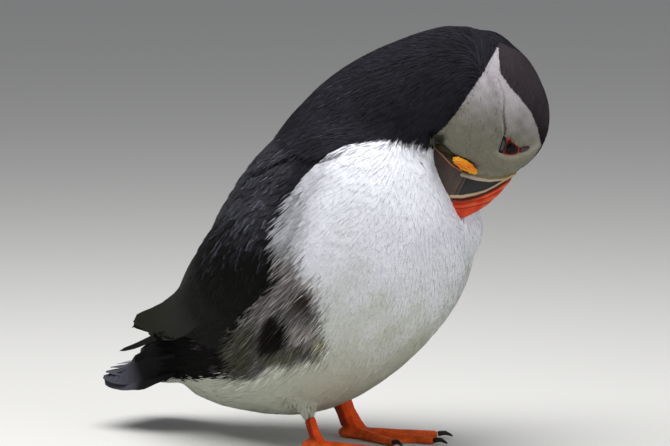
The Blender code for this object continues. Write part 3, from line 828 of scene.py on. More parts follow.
def blended_lie(points, guides, both_sides):
    """The way feathers point at each place, blended from the guides near it."""
    total = np.zeros_like(points)
    for x, y, z, dx, dy, dz, reach in guides:
        for side in (1, -1) if both_sides and y else (1,):
            d2 = ((points - (x, y * side, z)) ** 2).sum(1)
            weight = np.exp(-d2 / (2 * reach**2)) + 1e-7 / (1 + d2)
            total += weight[:, None] * unit(np.array((dx, dy * side, dz)))
    return unit(total)


def head_lie(points):
    """Back from the bill over the face, turning down the neck at the nape."""
    local = to_head(points)
    back = unit(local - FACE_FAN) @ HEAD_AXES
    nape = np.array((-0.95, -0.15, 0.1))
    return unit(mix(back, nape, ramp(-local[:, 0], *NAPE)))


class Form:
    """The smooth outside of the coat, with the lie of the feathers, the markings and the skin's unwrap."""

    def __init__(self):
        shapers = {"bill_upper": cut_to_base, "thigh_left": shorten_thigh, "thigh_right": shorten_thigh}
        self.obj = copy_of((*PARTS, "eye_left", "eye_right"), "skin", shapers)
        melt(self.obj, FORM_VOXEL, FLESH_GAP)
        points, normals, self.triangles = read(self.obj.data)
        self.edges = edges_of(self.triangles)
        points = relaxed(points, self.edges, FORM_ROUNDS) - normals * FLESH_GAP
        self.part = self.nearest_part(points)
        points = self.smooth_eyes(self.press_bed(points))
        write(self.obj.data, points)
        normals = read(self.obj.data)[1]
        self.points = points + normals * (BILL_BASE_RISE * self.is_part("bill_upper"))[:, None]
        write(self.obj.data, self.points)
        self.normals = read(self.obj.data)[1]
        self.tree = BVHTree.FromPolygons(self.points.tolist(), self.triangles.tolist())
        self.thickness = self.measure_thickness()
        self.lie = self.comb()
        self.kind = self.kinds()
        self.depth = self.depths()
        self.colours = markings(self.points, self.part)
        self.make_skin()

    def nearest_part(self, outside):
        """The node that each point is nearest to, as a number in PARTS."""
        best = np.full(len(outside), 1e9)
        found = np.full(len(outside), PARTS.index("head"))  # the sockets of the eyes are nearest to none
        for number, node in enumerate(PARTS):
            points, _, triangles = read(frame["nodes"][node].data)
            tree = BVHTree.FromPolygons(points.tolist(), triangles.tolist())
            low, high = points.min(0) - 4, points.max(0) + 4
            close = ((outside > low) & (outside < high)).all(1)
            if node == "bill_upper":
                close &= to_head(outside)[:, 0] < BILL_BASE_END
            for i in np.nonzero(close)[0]:
                d = tree.find_nearest(outside[i], 4.0)[3]
                if d is not None and d < best[i]:
                    best[i], found[i] = d, number
        return found

    def press_bed(self, points):
        """Presses the bed of the bill into breast and throat, on the side to which the head turns."""
        for _ in range(3):
            forward, left, up = to_head(points).T
            off = line_distance(np.stack((forward, up), 1), BILL_BED)
            limit = along(BED_HALF, forward) - BED_DEEPER + np.where(off > -0.6, BED_SLOPE, 1.2) * (off + 0.6)
            near = self.is_part("trunk", "neck") & (forward > -5) & (forward < 30) & (left < 0) & (off > -12)
            proud = -left - limit
            sink = np.where(near & (proud > -4), np.clip((proud + np.hypot(proud, BED_ROUND)) / 2, 0, 12), 0)
            points = points + sink[:, None] * HEAD_AXES[1]
            hold = neighbour_mean(neighbour_mean((sink > 0).astype(float)[:, None], self.edges), self.edges)
            points = points + (neighbour_mean(points, self.edges) - points) * 0.6 * np.clip(2 * hold, 0, 1)
        return points

    def smooth_eyes(self, points):
        """Lays the bulge and the socket of each eye into one low mound."""
        for node in ("eye_left", "eye_right"):
            far = np.linalg.norm(points - middle_of(node), axis=1)
            hold = 1 - ramp(far, EYE_MOUND * 0.6, EYE_MOUND * 1.15)
            for _ in range(MOUND_ROUNDS):
                points = points + (neighbour_mean(points, self.edges) - points) * (0.6 * hold)[:, None]
        return points

    def measure_thickness(self):
        """How thick the form is under each point."""
        out = np.full(len(self.points), THICKEST)
        for i, (p, n) in enumerate(zip(self.points, self.normals)):
            hit = self.tree.ray_cast(Vector(p - n * 0.05), Vector(-n), THICKEST)
            if hit[0] is not None:
                out[i] = hit[3]
        return neighbour_mean(out[:, None], self.edges)[:, 0]

    def is_part(self, *names):
        return on_part(self.part, *names)

    def comb(self):
        """The way feathers point at each vertex, along the surface and even from part to part."""
        lie = blended_lie(self.points, TRUNK_LIE, True)
        dark = self.points[:, 2] > along(DARK_ABOVE, self.points[:, 0])
        face = self.is_part("head", "bill_upper") & (dark | (to_head(self.points)[:, 2] > -16))
        for test, found in (
            (self.is_part("neck") & dark, blended_lie(self.points, NECK_LIE, False)),
            (self.is_part("wing_left", "wing_right"), blended_lie(self.points, WING_LIE, True)),
            (face, head_lie(self.points)),
            (self.is_part("thigh_left", "thigh_right"), np.tile((-0.15, 0.0, -1.0), (len(self.points), 1))),
            (self.is_part("tail"), unit(self.points * (0, 0.006, 0) + (-1.0, 0.0, -0.15))),
        ):
            lie = np.where(test[:, None], found, lie)
        wanted = lie
        for _ in range(COMB_ROUNDS):
            lie = level(lie, self.normals)
            lie = unit(lie + neighbour_mean(lie, self.edges) + 0.3 * wanted)
        return level(lie, self.normals)

    def kinds(self):
        """The kind of feather at each vertex, by its name in COATS."""
        zone = zones(self.points, self.part)
        kind = np.full(len(self.points), "breast", dtype="<U12")
        kind[self.points[:, 0] < 20] = "belly"
        kind[zone == "back"] = "mantle"
        for name in ("flank", "rump"):
            kind[zone == name] = name
        x, y, z = self.points.T
        rim = np.abs(line_distance(np.stack((x, z), 1), DARK_ABOVE))
        kind[(zone == "flank") & (rim < FLANK_EDGE)] = "flank_edge"
        by_wing = (np.abs(y) > 30) & (x < FRINGE_X) & (z > FRINGE_LOW) & (rim < FRINGE_REACH)
        kind[(zone == "white") & by_wing] = "fringe"
        kind[zone == "collar"] = "neck"
        kind[zone == "crown"] = "crown"
        kind[zone == "cheek"] = "face"
        wing = self.is_part("wing_left", "wing_right")
        kind[wing] = "covert"
        kind[wing & (self.points[:, 0] < -30)] = "quill"
        kind[wing & (self.points[:, 0] < BLADE_FROM)] = "bare"
        kind[self.is_part("tail")] = "tail_covert"
        kind[self.is_part("thigh_left", "thigh_right")] = "thigh"
        return kind

    def depths(self):
        """How deep the skin lies under the coat's outside, evened out from kind to kind."""
        depth = np.array([COATS[k][5] if k in COATS else BARE_DEPTH for k in self.kind])[:, None]
        for _ in range(DEPTH_ROUNDS):
            depth = (depth + neighbour_mean(depth, self.edges)) / 2
        return np.minimum(depth[:, 0], DEEPEST_SHARE * self.thickness)

    def make_skin(self):
        """Sinks the form's mesh to the skin, and unwraps it."""
        write(self.obj.data, within_box(self.points - self.normals * (self.depth + SKIN_BELOW)[:, None]))
        paint(self.obj.data, self.colours)
        self.obj.data.shade_smooth()
        self.obj.data.uv_layers.new(name=BAKE_MAP)
        limits = {"angle_limit": math.radians(66), "island_margin": 0.002}
        on_all_faces(self.obj, (bpy.ops.uv.smart_project, limits))
        self.unwrap = listed(self.obj.data.uv_layers[BAKE_MAP].data, "uv", 2).reshape(-1, 3, 2)
        self.triangles = listed(self.obj.data.loops, "vertex_index", 1, np.int32).reshape(-1, 3)

    def at(self, values, face, weights):
        """Values by vertex, read at places inside faces."""
        return (values[self.triangles[face]] * weights[..., None]).sum(1)


def on_part(part, *names):
    """Which of the points with these numbers in PARTS are on the parts named."""
    return np.isin(part, [PARTS.index(n) for n in names])


def zones(points, part):
    """What marking each point wears, in words."""
    zone = np.full(len(points), "white", dtype="<U8")
    x, y, z = points.T
    ragged = ripple(points, 3.5, 11) * 0.6 + ripple(points, 1.4, 12) * 0.4
    dark = z > along(DARK_ABOVE, x) + ragged * np.where(x > 22, 0.5, 1.2)
    zone[dark] = "back"
    side = np.stack((x, z), 1)
    outer = (np.abs(y) > 14) & ~dark
    zone[outer & (inside(side, FLANK) + ragged * 2.4 > 0)] = "flank"
    zone[dark & (x < RUMP_FRONT) & (z < RUMP_TOP)] = "rump"
    neck, head = on_part(part, "neck"), on_part(part, "head", "bill_upper")
    zone[dark & ((x > 19) | neck)] = "collar"
    local = to_head(points)
    f, left, c = local.T
    zone[head & (dark | (c > -16))] = "collar"
    cheek = (c > along(CHEEK_LOW, f)) & (c < along(CHEEK_HIGH, f)) & (f > CHEEK_LOW[0][0])
    stripe = CROWN_STRIPE_FRONT + (CROWN_STRIPE - CROWN_STRIPE_FRONT) * ramp(-f, 2.0, 20.0)
    cheek &= ((np.abs(left) > stripe) | (c < 0)) & ((c > -4) | (f < along(GAPE_EDGE, c) + 0.6))
    on_head = head | (neck & (f > -52) & (c > -24) & (c < 28) & (np.abs(left) < 24))
    zone[on_head & cheek] = "cheek"
    above = c > np.where(f < CHEEK_LOW[0][0], CHEEK_LOW[0][1], along(CHEEK_HIGH, f))
    zone[on_head & ~cheek & ((c > 4) | above) & (f > -50)] = "crown"
    zone[on_part(part, "wing_left", "wing_right")] = "wing"
    zone[on_part(part, "tail")] = "tail"
    zone[on_part(part, "thigh_left", "thigh_right")] = "white"
    return zone


def cut_to_base(obj, node):
    """Keeps only the bill's base, which the feathers cover."""
    steps = []
    for (f, c), (ahead, up) in BILL_CUTS:
        place, way = Vector(from_head((f, 0, c)) * MM), ahead * HEAD_AXES[0] + up * HEAD_AXES[2]
        cut = {"plane_co": place, "plane_no": way, "use_fill": True, "clear_outer": True}
        steps += [(bpy.ops.mesh.remove_doubles, MERGED), (bpy.ops.mesh.bisect, cut)]
    on_all_faces(obj, *steps)


def shorten_thigh(obj, node):
    """Draws a thigh's lower end up into the fluff, and narrows it."""
    points = read(obj.data)[0]
    low, high = points[:, 2].min(), points[:, 2].max()
    share = (high - points[:, 2]) / (high - low)
    bottom = points[share > 0.9].mean(0)
    slim = (1 - (1 - THIGH_TAPER) * share)[:, None]
    points[:, :2] = bottom[:2] + (points[:, :2] - bottom[:2]) * slim
    points[:, 2] = high - share * (high - THIGH_ENDS[node])
    write(obj.data, points)


def markings(points, part):
    """The colour of the plumage at each point."""
    hue = Palette("plumage")
    zone = zones(points, part)
    local = to_head(points)
    x, _, z = points.T
    wide, fine = ripple(points, 14, 21) * 0.5 + 0.5, ripple(points, 4, 22)
    out = np.zeros((len(points), 3))
    # The white darkens downwards to the belly: partly the belly's own duller, faintly green tone, partly painted
    # shade on the underside. It is also a little darker at the top, by the collar.
    white = mix(hue.belly, hue.breast, ramp(z + wide * 20, 45.0, 110.0))
    white *= 1 - 0.10 * ramp(z, 112.0, 130.0)[:, None]
    rim = np.maximum(line_distance(np.stack((x, z), 1), DARK_ABOVE), 0)
    # Near the wing's front edge the white is streaked grey: partly grey streaks of its own, partly painted
    # shade.
    by_wing = (1 - ramp(rim + 3 * wide, 6.0, 24.0)) * (1 - ramp(x, 28.0, 44.0)) * (z > 50)
    streaky = 0.5 + 0.5 * ripple(points * (1.0, 0.6, 0.5), 2.6, 24)
    white = white * (1 - by_wing * (0.34 + 0.36 * np.clip(streaky, 0, 1)))[:, None]
    # The cheek darkens and turns faintly green towards the bill: the green is its own, the darkening partly
    # painted shade.
    cheek = mix(hue.cheek_front, hue.cheek, ramp(-local[:, 0] + fine * 2, 8.0, 36.0))
    # Two soft patches of painted shade on the cheek.
    cheek_shade = spots(local[:, (0, 2)], ((-19.0, -5.0, 10.0), (-20.0, 14.0, 8.0)))
    cheek *= (1 - 0.22 * cheek_shade + 0.02 * fine)[:, None]
    # A painted highlight along a band in front of the eye.
    eye_highlight = bell(line_distance(local[:, (0, 2)], EYE_BAND), 1.0) * (0.8 + 0.2 * ripple(points, 1.2, 26))
    cheek *= (1 + 0.60 * eye_highlight)[:, None]
    side = np.stack((x + 0.6 * fine, z + 0.8 * fine), 1)
    flank = hue.flank_pale * 0.25
    for name, strength, blur, outline in FLANK_SHADES:
        flank = mix(flank, getattr(hue, name) * strength, ramp(inside(side, outline), -blur, blur))
    fade = 2.5 + 6.0 * ramp(x, 24.0, 33.0) * ramp(z, 50.0, 60.0)
    flank = mix(flank, white, ramp(-inside(side, FLANK) / fade, -1.0, 0.8))
    # Paler mauve streaks on the rump's sides: a painted sheen.
    streak = ramp(ripple(points * (1.0, 1.0, 0.35), 2.2, 23), 0.3, 1.1)
    rump = mix(hue.rump * 0.7, hue.rump, wide)
    rump = mix(rump, hue.rump_sheen, streak * 0.8 * spots(side, ((-32.0, 36.0, 11.0), (-26.0, 30.0, 8.0))))
    back = mix(hue.back, hue.back * 0.72, wide)
    back = mix(back, back * (1.14, 1.01, 0.93), ramp(ripple(points, 8, 25), 0.0, 1.2))
    # Mantle and wing are painted lighter towards the top, as light from above, and darken lower down to the
    # wing's black.
    back = mix(hue.wing * 1.2, back, ramp(z + fine * 3, 90.0, 114.0))
    wing = mix(hue.wing, hue.back, ramp(z + fine * 3 + 0.2 * x, 90.0, 112.0))
    wing = mix(wing, hue.wing * (2.2, 2.2, 1.2), ramp(-x + fine * 2, 52.0, 72.0))
    tail = mix(hue.tail, hue.tail_tip, ramp(-x + fine * 2, -TAIL_TIP_FROM - 1, -TAIL_TIP_FROM + 2))
    shades = {
        "white": white, "cheek": cheek, "flank": flank, "back": back, "wing": wing, "tail": tail,
        "collar": hue.collar * (0.86 + 0.2 * wide)[:, None],
        # The crown is painted darker towards the bill, as shade.
        "crown": hue.crown * ((0.9 + 0.15 * wide) * (1 - 0.78 * ramp(local[:, 0], -30.0, -15.0)))[:, None],
        "rump": rump,
    }
    for name, shade in shades.items():
        out = np.where((zone == name)[:, None], shade, out)
    return out


# ---- Feathers ----


def spread(points, spacing):
    """The numbers of points picked in turn so that none is nearer to another than the spacing."""
    cells, kept = {}, []
    keys = np.floor(points / spacing).astype(int).tolist()
    near = [(a, b, c) for a in (0, -1, 1) for b in (0, -1, 1) for c in (0, -1, 1)]
    limit = spacing * spacing
    for i, ((kx, ky, kz), (px, py, pz)) in enumerate(zip(keys, points.tolist())):
        free = True
        for a, b, c in near:
            for qx, qy, qz in cells.get((kx + a, ky + b, kz + c), ()):
                if (px - qx) ** 2 + (py - qy) ** 2 + (pz - qz) ** 2 < limit:
                    free = False
                    break
            if not free:
                break
        if free:
            cells.setdefault((kx, ky, kz), []).append((px, py, pz))
            kept.append(i)
    return np.array(kept, int)


def scatter(form, allowed, spacing, dice):
    """Even random roots on the faces allowed: the face of each, and its weights on the face's corners."""
    a, b, c = (form.points[form.triangles[:, k]] for k in range(3))
    area = np.linalg.norm(np.cross(b - a, c - a), axis=1) / 2 * allowed
    if area.sum() == 0:
        raise RuntimeError("no skin for these feathers")
    count = int(area.sum() / spacing**2 * ROOT_TRIES) + 8
    face = dice.choice(len(area), count, p=area / area.sum())
    u, v = dice.random(count), dice.random(count)
    u, v = np.where(u + v > 1, 1 - u, u), np.where(u + v > 1, 1 - v, v)
    weights = np.stack((1 - u - v, u, v), 1)
    kept = spread(form.at(form.points, face, weights), spacing * ROOT_GAP)
    return face[kept], weights[kept]


def trace(form, starts, headings, lengths, steps):
    """Midlines over the form, bent by its lie: points and normals, steps + 1 to a line."""
    count = len(starts)
    points, normals = np.empty((count, steps + 1, 3)), np.empty((count, steps + 1, 3))
    here, way, n, over = starts.copy(), headings.copy(), None, np.zeros(count, bool)
    find = form.tree.find_nearest
    for k in range(steps + 1):
        if k:
            here = here + way * (lengths / steps * np.where(over, OVERHANG, 1.0))[:, None]
        found = [find(p) for p in here.tolist()]
        corners = form.triangles[[f[2] for f in found]]
        new, lie = unit(form.normals[corners].mean(1)), form.lie[corners].mean(1)
        # Past the edge of a thin part a feather runs straight on.
        if n is not None:
            over = over | ((new * n).sum(1) < EDGE_TURN)
        here = np.where(over[:, None], here, np.array([f[0] for f in found]))
        n = np.where(over[:, None], n if n is not None else new, new)
        lie = np.where(over[:, None], way, lie)
        points[:, k], normals[:, k] = here, n
        way = way * (1 - BEND) + lie * BEND if k else way
        way = level(way, n)
    return points, normals


def vane_triangles(rings, columns):
    """The triangles of one closed vane: its top, its flat underside, its root and its single tip point."""
    made, last = [], columns - 1
    for k in range(rings - 1):
        low, high = k * columns, (k + 1) * columns
        for j in range(last):
            made += [(low + j, high + j, high + j + 1), (low + j, high + j + 1, low + j + 1)]
        made += [(low, low + last, high + last), (low, high + last, high)]
    end, tip = (rings - 1) * columns, rings * columns
    made += [(end + j, tip, end + j + 1) for j in range(last)] + [(end, end + last, tip)]
    made += [(0, j, j + 1) for j in range(1, last)]
    return np.array(made)


def vanes(name, lines, normals, widths, heights, shape, columns, tones, fringe, places, bow, one_sided=False):
    """One mesh of closed vanes along midlines. Heights lift them off the form, and shape is their width ring
    by ring. Tones are the colours ring by ring, and fringe is the edge's, one to a vane or one to a ring.
    Places are the roots on the skin's unwrap."""
    count, rings = len(lines), len(shape)
    along_vane = np.linspace(0, 1, lines.shape[1])
    lines = lines + normals * heights[..., None]
    ahead = unit(np.gradient(lines, axis=1))
    across = unit(np.cross(normals, ahead))
    sides = np.linspace(-1, 1, columns)
    half = widths[:, None] / 2 * np.array(shape)[None]
    grid = lines[:, :rings, None] + across[:, :rings, None] * (half[..., None] * sides)[..., None]
    sag = half[..., None] * bow * (1 - sides**2) + 0.02
    grid = grid + normals[:, :rings, None] * sag[..., None]
    points = np.concatenate((grid.reshape(count, rings * columns, 3), lines[:, -1:]), 1)
    t = np.repeat(along_vane[:rings], columns)
    edge = np.tile(np.abs(sides), rings)[None] ** 3 * np.ones((count, 1))
    if one_sided:
        trailing = np.sign(across[:, 0] @ np.array((-1.0, 0.0, 1.0)))[:, None]
        edge *= np.tile(sides, rings)[None] * trailing > 0
    edge *= np.clip(t * 1.6, 0, 1)[None]
    shade = np.repeat(tones[:, :rings], columns, axis=1)
    if fringe.ndim == 2:
        fringe = np.repeat(fringe[:, None], rings + 1, axis=1)
    shade = mix(shade, np.repeat(fringe[:, :rings], columns, axis=1), edge)
    shade = np.concatenate((shade, mix(tones[:, -1], fringe[:, -1], np.full(count, 0.4))[:, None]), 1)
    u = np.append(np.tile(sides / 2 + 0.5, rings), 0.5)
    vane_uv = np.stack((u, np.append(t, 1.0)), 1)
    triangles = vane_triangles(rings, columns)[None] + (np.arange(count) * (rings * columns + 1))[:, None, None]
    maps = {
        VANE_MAP: np.tile(vane_uv, (count, 1)),
        BAKE_MAP: (places[:, None] + PATCH * (vane_uv[None] - 0.5)).reshape(-1, 2),
    }
    return mesh_object(name, points.reshape(-1, 3), triangles.reshape(-1, 3), shade.reshape(-1, 3), maps)


def bare_places(points, part):
    """Where no feather grows: in front of the bill's rim, and on the bare skin of the face."""
    local = to_head(points)
    side = local[:, (0, 2)]
    on_head = on_part(part, "head", "bill_upper")
    bare = on_head & (line_distance(side, RIM) > -1.0) & (side[:, 1] > -4)
    bare |= on_head & (side[:, 1] <= -4) & (side[:, 0] > along(GAPE_EDGE, side[:, 1]))
    on_face = on_head & (np.abs(local[:, 1]) > 5)
    for outline, grow in ((RING, -0.3), (BAR, -0.2), (PLATE, -0.2)):
        bare |= on_face & (inside(side, outline, grow) > 0)
    bare |= on_face & (inside(side, ROSETTE, 0.2) > 0)
    return bare


def folds(points):
    """How far the coat stands off its form along the folds of face and shoulder, and their painted shade."""
    local = to_head(points)
    side = local[:, (0, 2)]
    off = line_distance(side, CREASE)
    cheek = (np.abs(local[:, 1]) > 4) & (side[:, 0] > -50)
    span = ramp(-side[:, 0], 12.6, 13.6) * (1 - ramp(-side[:, 0], 33.0, 41.0)) * cheek
    roll = bell(np.minimum(off + 2.4, 0), 2.2) * bell(np.maximum(off + 2.4, 0), 1.3)
    stand = (0.6 * roll - 0.8 * bell(off, 0.7)) * span
    # Painted shade along the cheek's crease, fading away from the eye.
    dark = 1.2 * bell(off, 0.5) * span * (1 - 0.8 * ramp(-side[:, 0], 18.0, 30.0))
    # Painted shadow where the neck's feathers lap over the mantle, and in the notch below.
    for line, depth, reach in zip(FOLDS, (1.4, 1.0), (0.9, 0.8)):
        gap = line_distance(points[:, (0, 2)], line)
        outer = np.abs(points[:, 1]) > 26
        near = bell(gap, reach) * outer
        stand += (0.7 * bell(gap - 2.2, 1.6) * outer) - depth * near
        dark = np.maximum(dark, near)
    return stand, dark


def short_at_bill(points):
    """The share of their length that feathers keep near the edge of the bill's bed."""
    local = to_head(points)
    off = np.abs(line_distance(local[:, (0, 2)], BILL_BED))
    beside = (local[:, 0] > BILL_BED[0][0]) & (local[:, 1] < 0)
    return np.where(beside, 0.4 + 0.6 * ramp(off, 0.5, 6.0), 1.0)


def short_at_border(points):
    """The share of their length that feathers keep near the cheek's crisp border."""
    side = to_head(points)[:, (0, 2)]
    off = np.minimum(np.abs(line_distance(side, CHEEK_LOW)), np.abs(line_distance(side, CHEEK_HIGH)))
    return CRISP_SHARE + (1 - CRISP_SHARE) * ramp(off, 0.3, CRISP_FROM)


def coat(name, kinds, look, slot, where=None):
    """A piece of plumage: feathers of like kinds on the part of the form that where picks."""
    form, plumage, hue = shared_form(), bpy.context.scene.puffin_plumage, Palette("plumage")
    dice = np.random.default_rng([plumage.seed, *map(ord, name)])
    made = []
    for kind in kinds:
        spacing, length, width, rings, columns, _, lift, waver, pale, crisp, bow, unlike = COATS[kind]
        ground, times, pale_share = STRAYS.get(kind, (kind, 1.0, 0.0))
        allowed = (form.kind[form.triangles] == ground).sum(1) >= 2
        if where is not None:
            allowed &= where(form.points[form.triangles].mean(1))
        face, weights = scatter(form, allowed, spacing, dice)
        part = form.part[form.triangles[face, 0]]
        starts = form.at(form.points, face, weights)
        free = ~bare_places(starts, part)
        face, weights, part, starts = face[free], weights[free], part[free], starts[free]
        root_normals = unit(form.at(form.normals, face, weights))
        lie = unit(form.at(form.lie, face, weights))
        turn = np.radians(dice.normal(0, waver, len(face)))[:, None]
        headings = lie * np.cos(turn) + np.cross(root_normals, lie) * np.sin(turn)
        lengths = length * plumage.lengths * dice.uniform(*LENGTHS_VARY, len(face))
        if kind in ("face", "crown", "neck"):
            lengths *= short_at_border(starts)
        if kind == "breast":
            lengths *= short_at_bill(starts)
        lines, normals = trace(form, starts, headings, lengths, rings)
        t = np.linspace(0, 1, rings + 1)
        sink = form.at(form.depth[:, None], face, weights)
        heights = -sink * (1 - t) ** 0.8 + lift * dice.uniform(0.0, 2.0, len(face))[:, None] * t**2
        stand, dark = (v.reshape(len(face), -1) for v in folds(lines.reshape(-1, 3)))
        heights += stand * t
        free = ~near_bill(lines, part)
        slip = (1 - crisp) * SLIP * (lengths * dice.normal(0, 1, len(face)))[:, None, None] * headings[:, None]
        followed = (starts[:, None] + (lines - starts[:, None]) * crisp + slip).reshape(-1, 3)
        tones = markings(followed, np.repeat(part, rings + 1)).reshape(len(face), rings + 1, 3)
        shade = np.clip(1 + dice.normal(0, unlike * plumage.shade_waver, len(face)), 0.5, 1.9)
        # Strays take the painted edge highlight, by their share in STRAYS.
        tones = mix(tones * times, hue.back_edge_highlight, pale_share * edge_highlight_strength(starts)[:, None])
        # Along the folds the coat is painted darker, as shade.
        tones = tones * shade[:, None, None] * (1 - 0.8 * dark)[..., None]
        tones[:, 0] *= 0.85
        fringe = tones[:, -2] * (1 + 2 * pale) + 0.01 * pale
        if kind in STREAKED:
            # Some feathers of the streaked kinds get a painted highlight on their edge.
            fringe = mix(fringe, hue.back_edge_highlight, dice.random(len(face)) ** 4.0 * edge_highlight_strength(starts))
        shape = TUFT_SHAPE[rings] if columns == 3 else VANE_SHAPE[rings]
        widths = width * dice.uniform(*WIDTHS_VARY, len(face))
        uv = (form.unwrap[face] * weights[..., None]).sum(1)
        picked = [a[free] for a in (lines, normals, widths, heights)]
        shades = (tones[free], fringe[free], uv[free])
        made.append(vanes(name, *picked, shape, columns, *shades, bow, kind in STREAKED))
    joined_piece(made, name, feather_look(look), slot)


def edge_highlight_strength(points):
    """Strength of painted highlights on feather edges, from the top-lit shoulders to the black lower wing."""
    top_lit = 0.06 + 0.94 * ramp(points[:, 2] - 0.15 * points[:, 0], 78.0, 108.0)
    return top_lit * (1 - ramp(points[:, 0], 25.0, 45.0))


def near_bill(lines, part):
    """Body feathers that would run into the bill or rosettes, or over the side of the bill in its bed."""
    out = np.zeros(len(lines), bool)
    body = ~on_part(part, "head", "bill_upper")
    tree = tree_of("bill_upper", "bill_lower", "rosette_left", "rosette_right")
    reach = (np.abs(to_head(lines[:, -1])) < BY_THE_BILL).all(1)
    for i in np.nonzero(body & reach)[0]:
        way = np.concatenate((lines[i, 1:], (lines[i, 1:] + lines[i, :-1]) / 2))
        local = to_head(way)
        if local[:, 1].max() < -1.0:
            off = line_distance(local[:, (0, 2)], BILL_BED)
            over = (off < -BILL_CLEAR) & (-local[:, 1] > along(BED_HALF, local[:, 0]) - 1.5)
            out[i] = (over & (local[:, 0] > BILL_BED[0][0] + 2)).any()
        else:
            out[i] = any(tree.find_nearest(p, BILL_CLEAR)[0] is not None for p in way.tolist())
    return out


def joined_piece(made, name, material, slot):
    """Finishes a piece of plumage made of several meshes."""
    obj = joined(made, name)
    bpy.ops.object.shade_smooth_by_angle(angle=math.radians(60))
    if len(obj.data.polygons) > MOST_TRIANGLES:
        raise RuntimeError(f"{name} has {len(obj.data.polygons)} triangles, more than {MOST_TRIANGLES}")
    finish_piece(obj, material, slot)


def long_vanes(name, lines, normals, widths, tones, pale, rise, bow, end, sunk=0.0):
    """Large flight or tail feathers along midlines given one by one. Pale is the edge's shade times the tone,
    and end how squarely a feather ends."""
    form, steps = shared_form(), lines.shape[1] - 1
    t = np.linspace(0, 1, steps + 1)
    shape = np.clip(0.35 + 2.2 * t[:-1], 0, 1) * np.sqrt(np.clip(1 - (t[:-1] / 1.02) ** end, 0, 1))
    found = [form.tree.find_nearest(p) for p in lines[:, 0].tolist()]
    uv = form.unwrap[[f[2] for f in found]].mean(1)
    heights = rise - sunk * (1 - ramp(t, 0.0, 0.3)) + np.linspace(0, 0.3, len(lines))[:, None] * t
    obj = vanes(name, lines, normals, np.array(widths, float), heights, shape, 5, tones, tones * pale, uv, bow)
    joined_piece([obj], name, feather_look("flight"), "black_feathers")


# ---- Operators ----

shared = {}


def shared_form():
    if "form" not in shared:
        shared["form"] = Form()
    return shared["form"]


def feather_look(kind):
    """The feather materials, each made once."""
    if kind not in shared:
        made = {
            "white": ("white_down", 5.0, 0.90, 0.0, 0.05, 0.03),
            "soft": ("soft_feathers", 5.0, 0.85, 0.0, 0.04, 0.03),
            "vaned": ("vaned_feathers", 26.0, 0.55, 0.0, 0.06, 0.06),
            "flight": ("flight_feathers", 70.0, 0.50, 0.0, 0.08, 0.05),
        }[kind]
        shared[kind] = feather_material(*made)
    return shared[kind]


class PUFFIN_OT_skin(bpy.types.Operator):
    """Make the one skin that stands for all the flesh"""

    bl_idname = "puffin.skin"
    bl_label = "Skin"

    def execute(self, context):
        finish_piece(shared_form().obj, skin_material(), "white_feathers", FLESH)
        return {"FINISHED"}


class PUFFIN_OT_white_feathers(bpy.types.Operator):
    """Grow the silky white feathers of breast, belly and thighs"""

    bl_idname = "puffin.white_feathers"
    bl_label = "White feathers"

    def execute(self, context):
        coat("breast_right", ("breast", "fringe"), "white", "white_feathers", lambda p: p[:, 1] < 0)
        coat("breast_left", ("breast", "fringe"), "white", "white_feathers", lambda p: p[:, 1] >= 0)
        coat("belly_feathers", ("belly", "thigh"), "white", "white_feathers")
        return {"FINISHED"}


class PUFFIN_OT_flank_feathers(bpy.types.Operator):
    """Grow the shaggy flanks and the sides of the rump"""

    bl_idname = "puffin.flank_feathers"
    bl_label = "Flank feathers"

    def execute(self, context):
        kinds = ("flank", "flank_edge", "flank_hair", "edge_hair")
        for side, word in SIDES:
            coat(f"flank_feathers_{word}", kinds, "soft", "white_feathers", lambda p, s=side: p[:, 1] * s > 0)
        coat("rump_feathers", ("rump",), "soft", "black_feathers")
        return {"FINISHED"}


class PUFFIN_OT_dark_feathers(bpy.types.Operator):
    """Grow the feathers of neck, nape, mantle and shoulders"""

    bl_idname = "puffin.dark_feathers"
    bl_label = "Neck and back feathers"

    def execute(self, context):
        coat("neck_feathers", ("neck", "neck_streak"), "soft", "black_feathers")
        coat("mantle_feathers", ("mantle", "mantle_streak"), "vaned", "black_feathers")
        return {"FINISHED"}


class PUFFIN_OT_head_feathers(bpy.types.Operator):
    """Grow the short feathers of cheeks and crown"""

    bl_idname = "puffin.head_feathers"
    bl_label = "Head feathers"

    def execute(self, context):
        coat("cheek_tufts", ("face",), "soft", "cheek_feathers")
        coat("crown_tufts", ("crown",), "soft", "black_feathers")
        return {"FINISHED"}


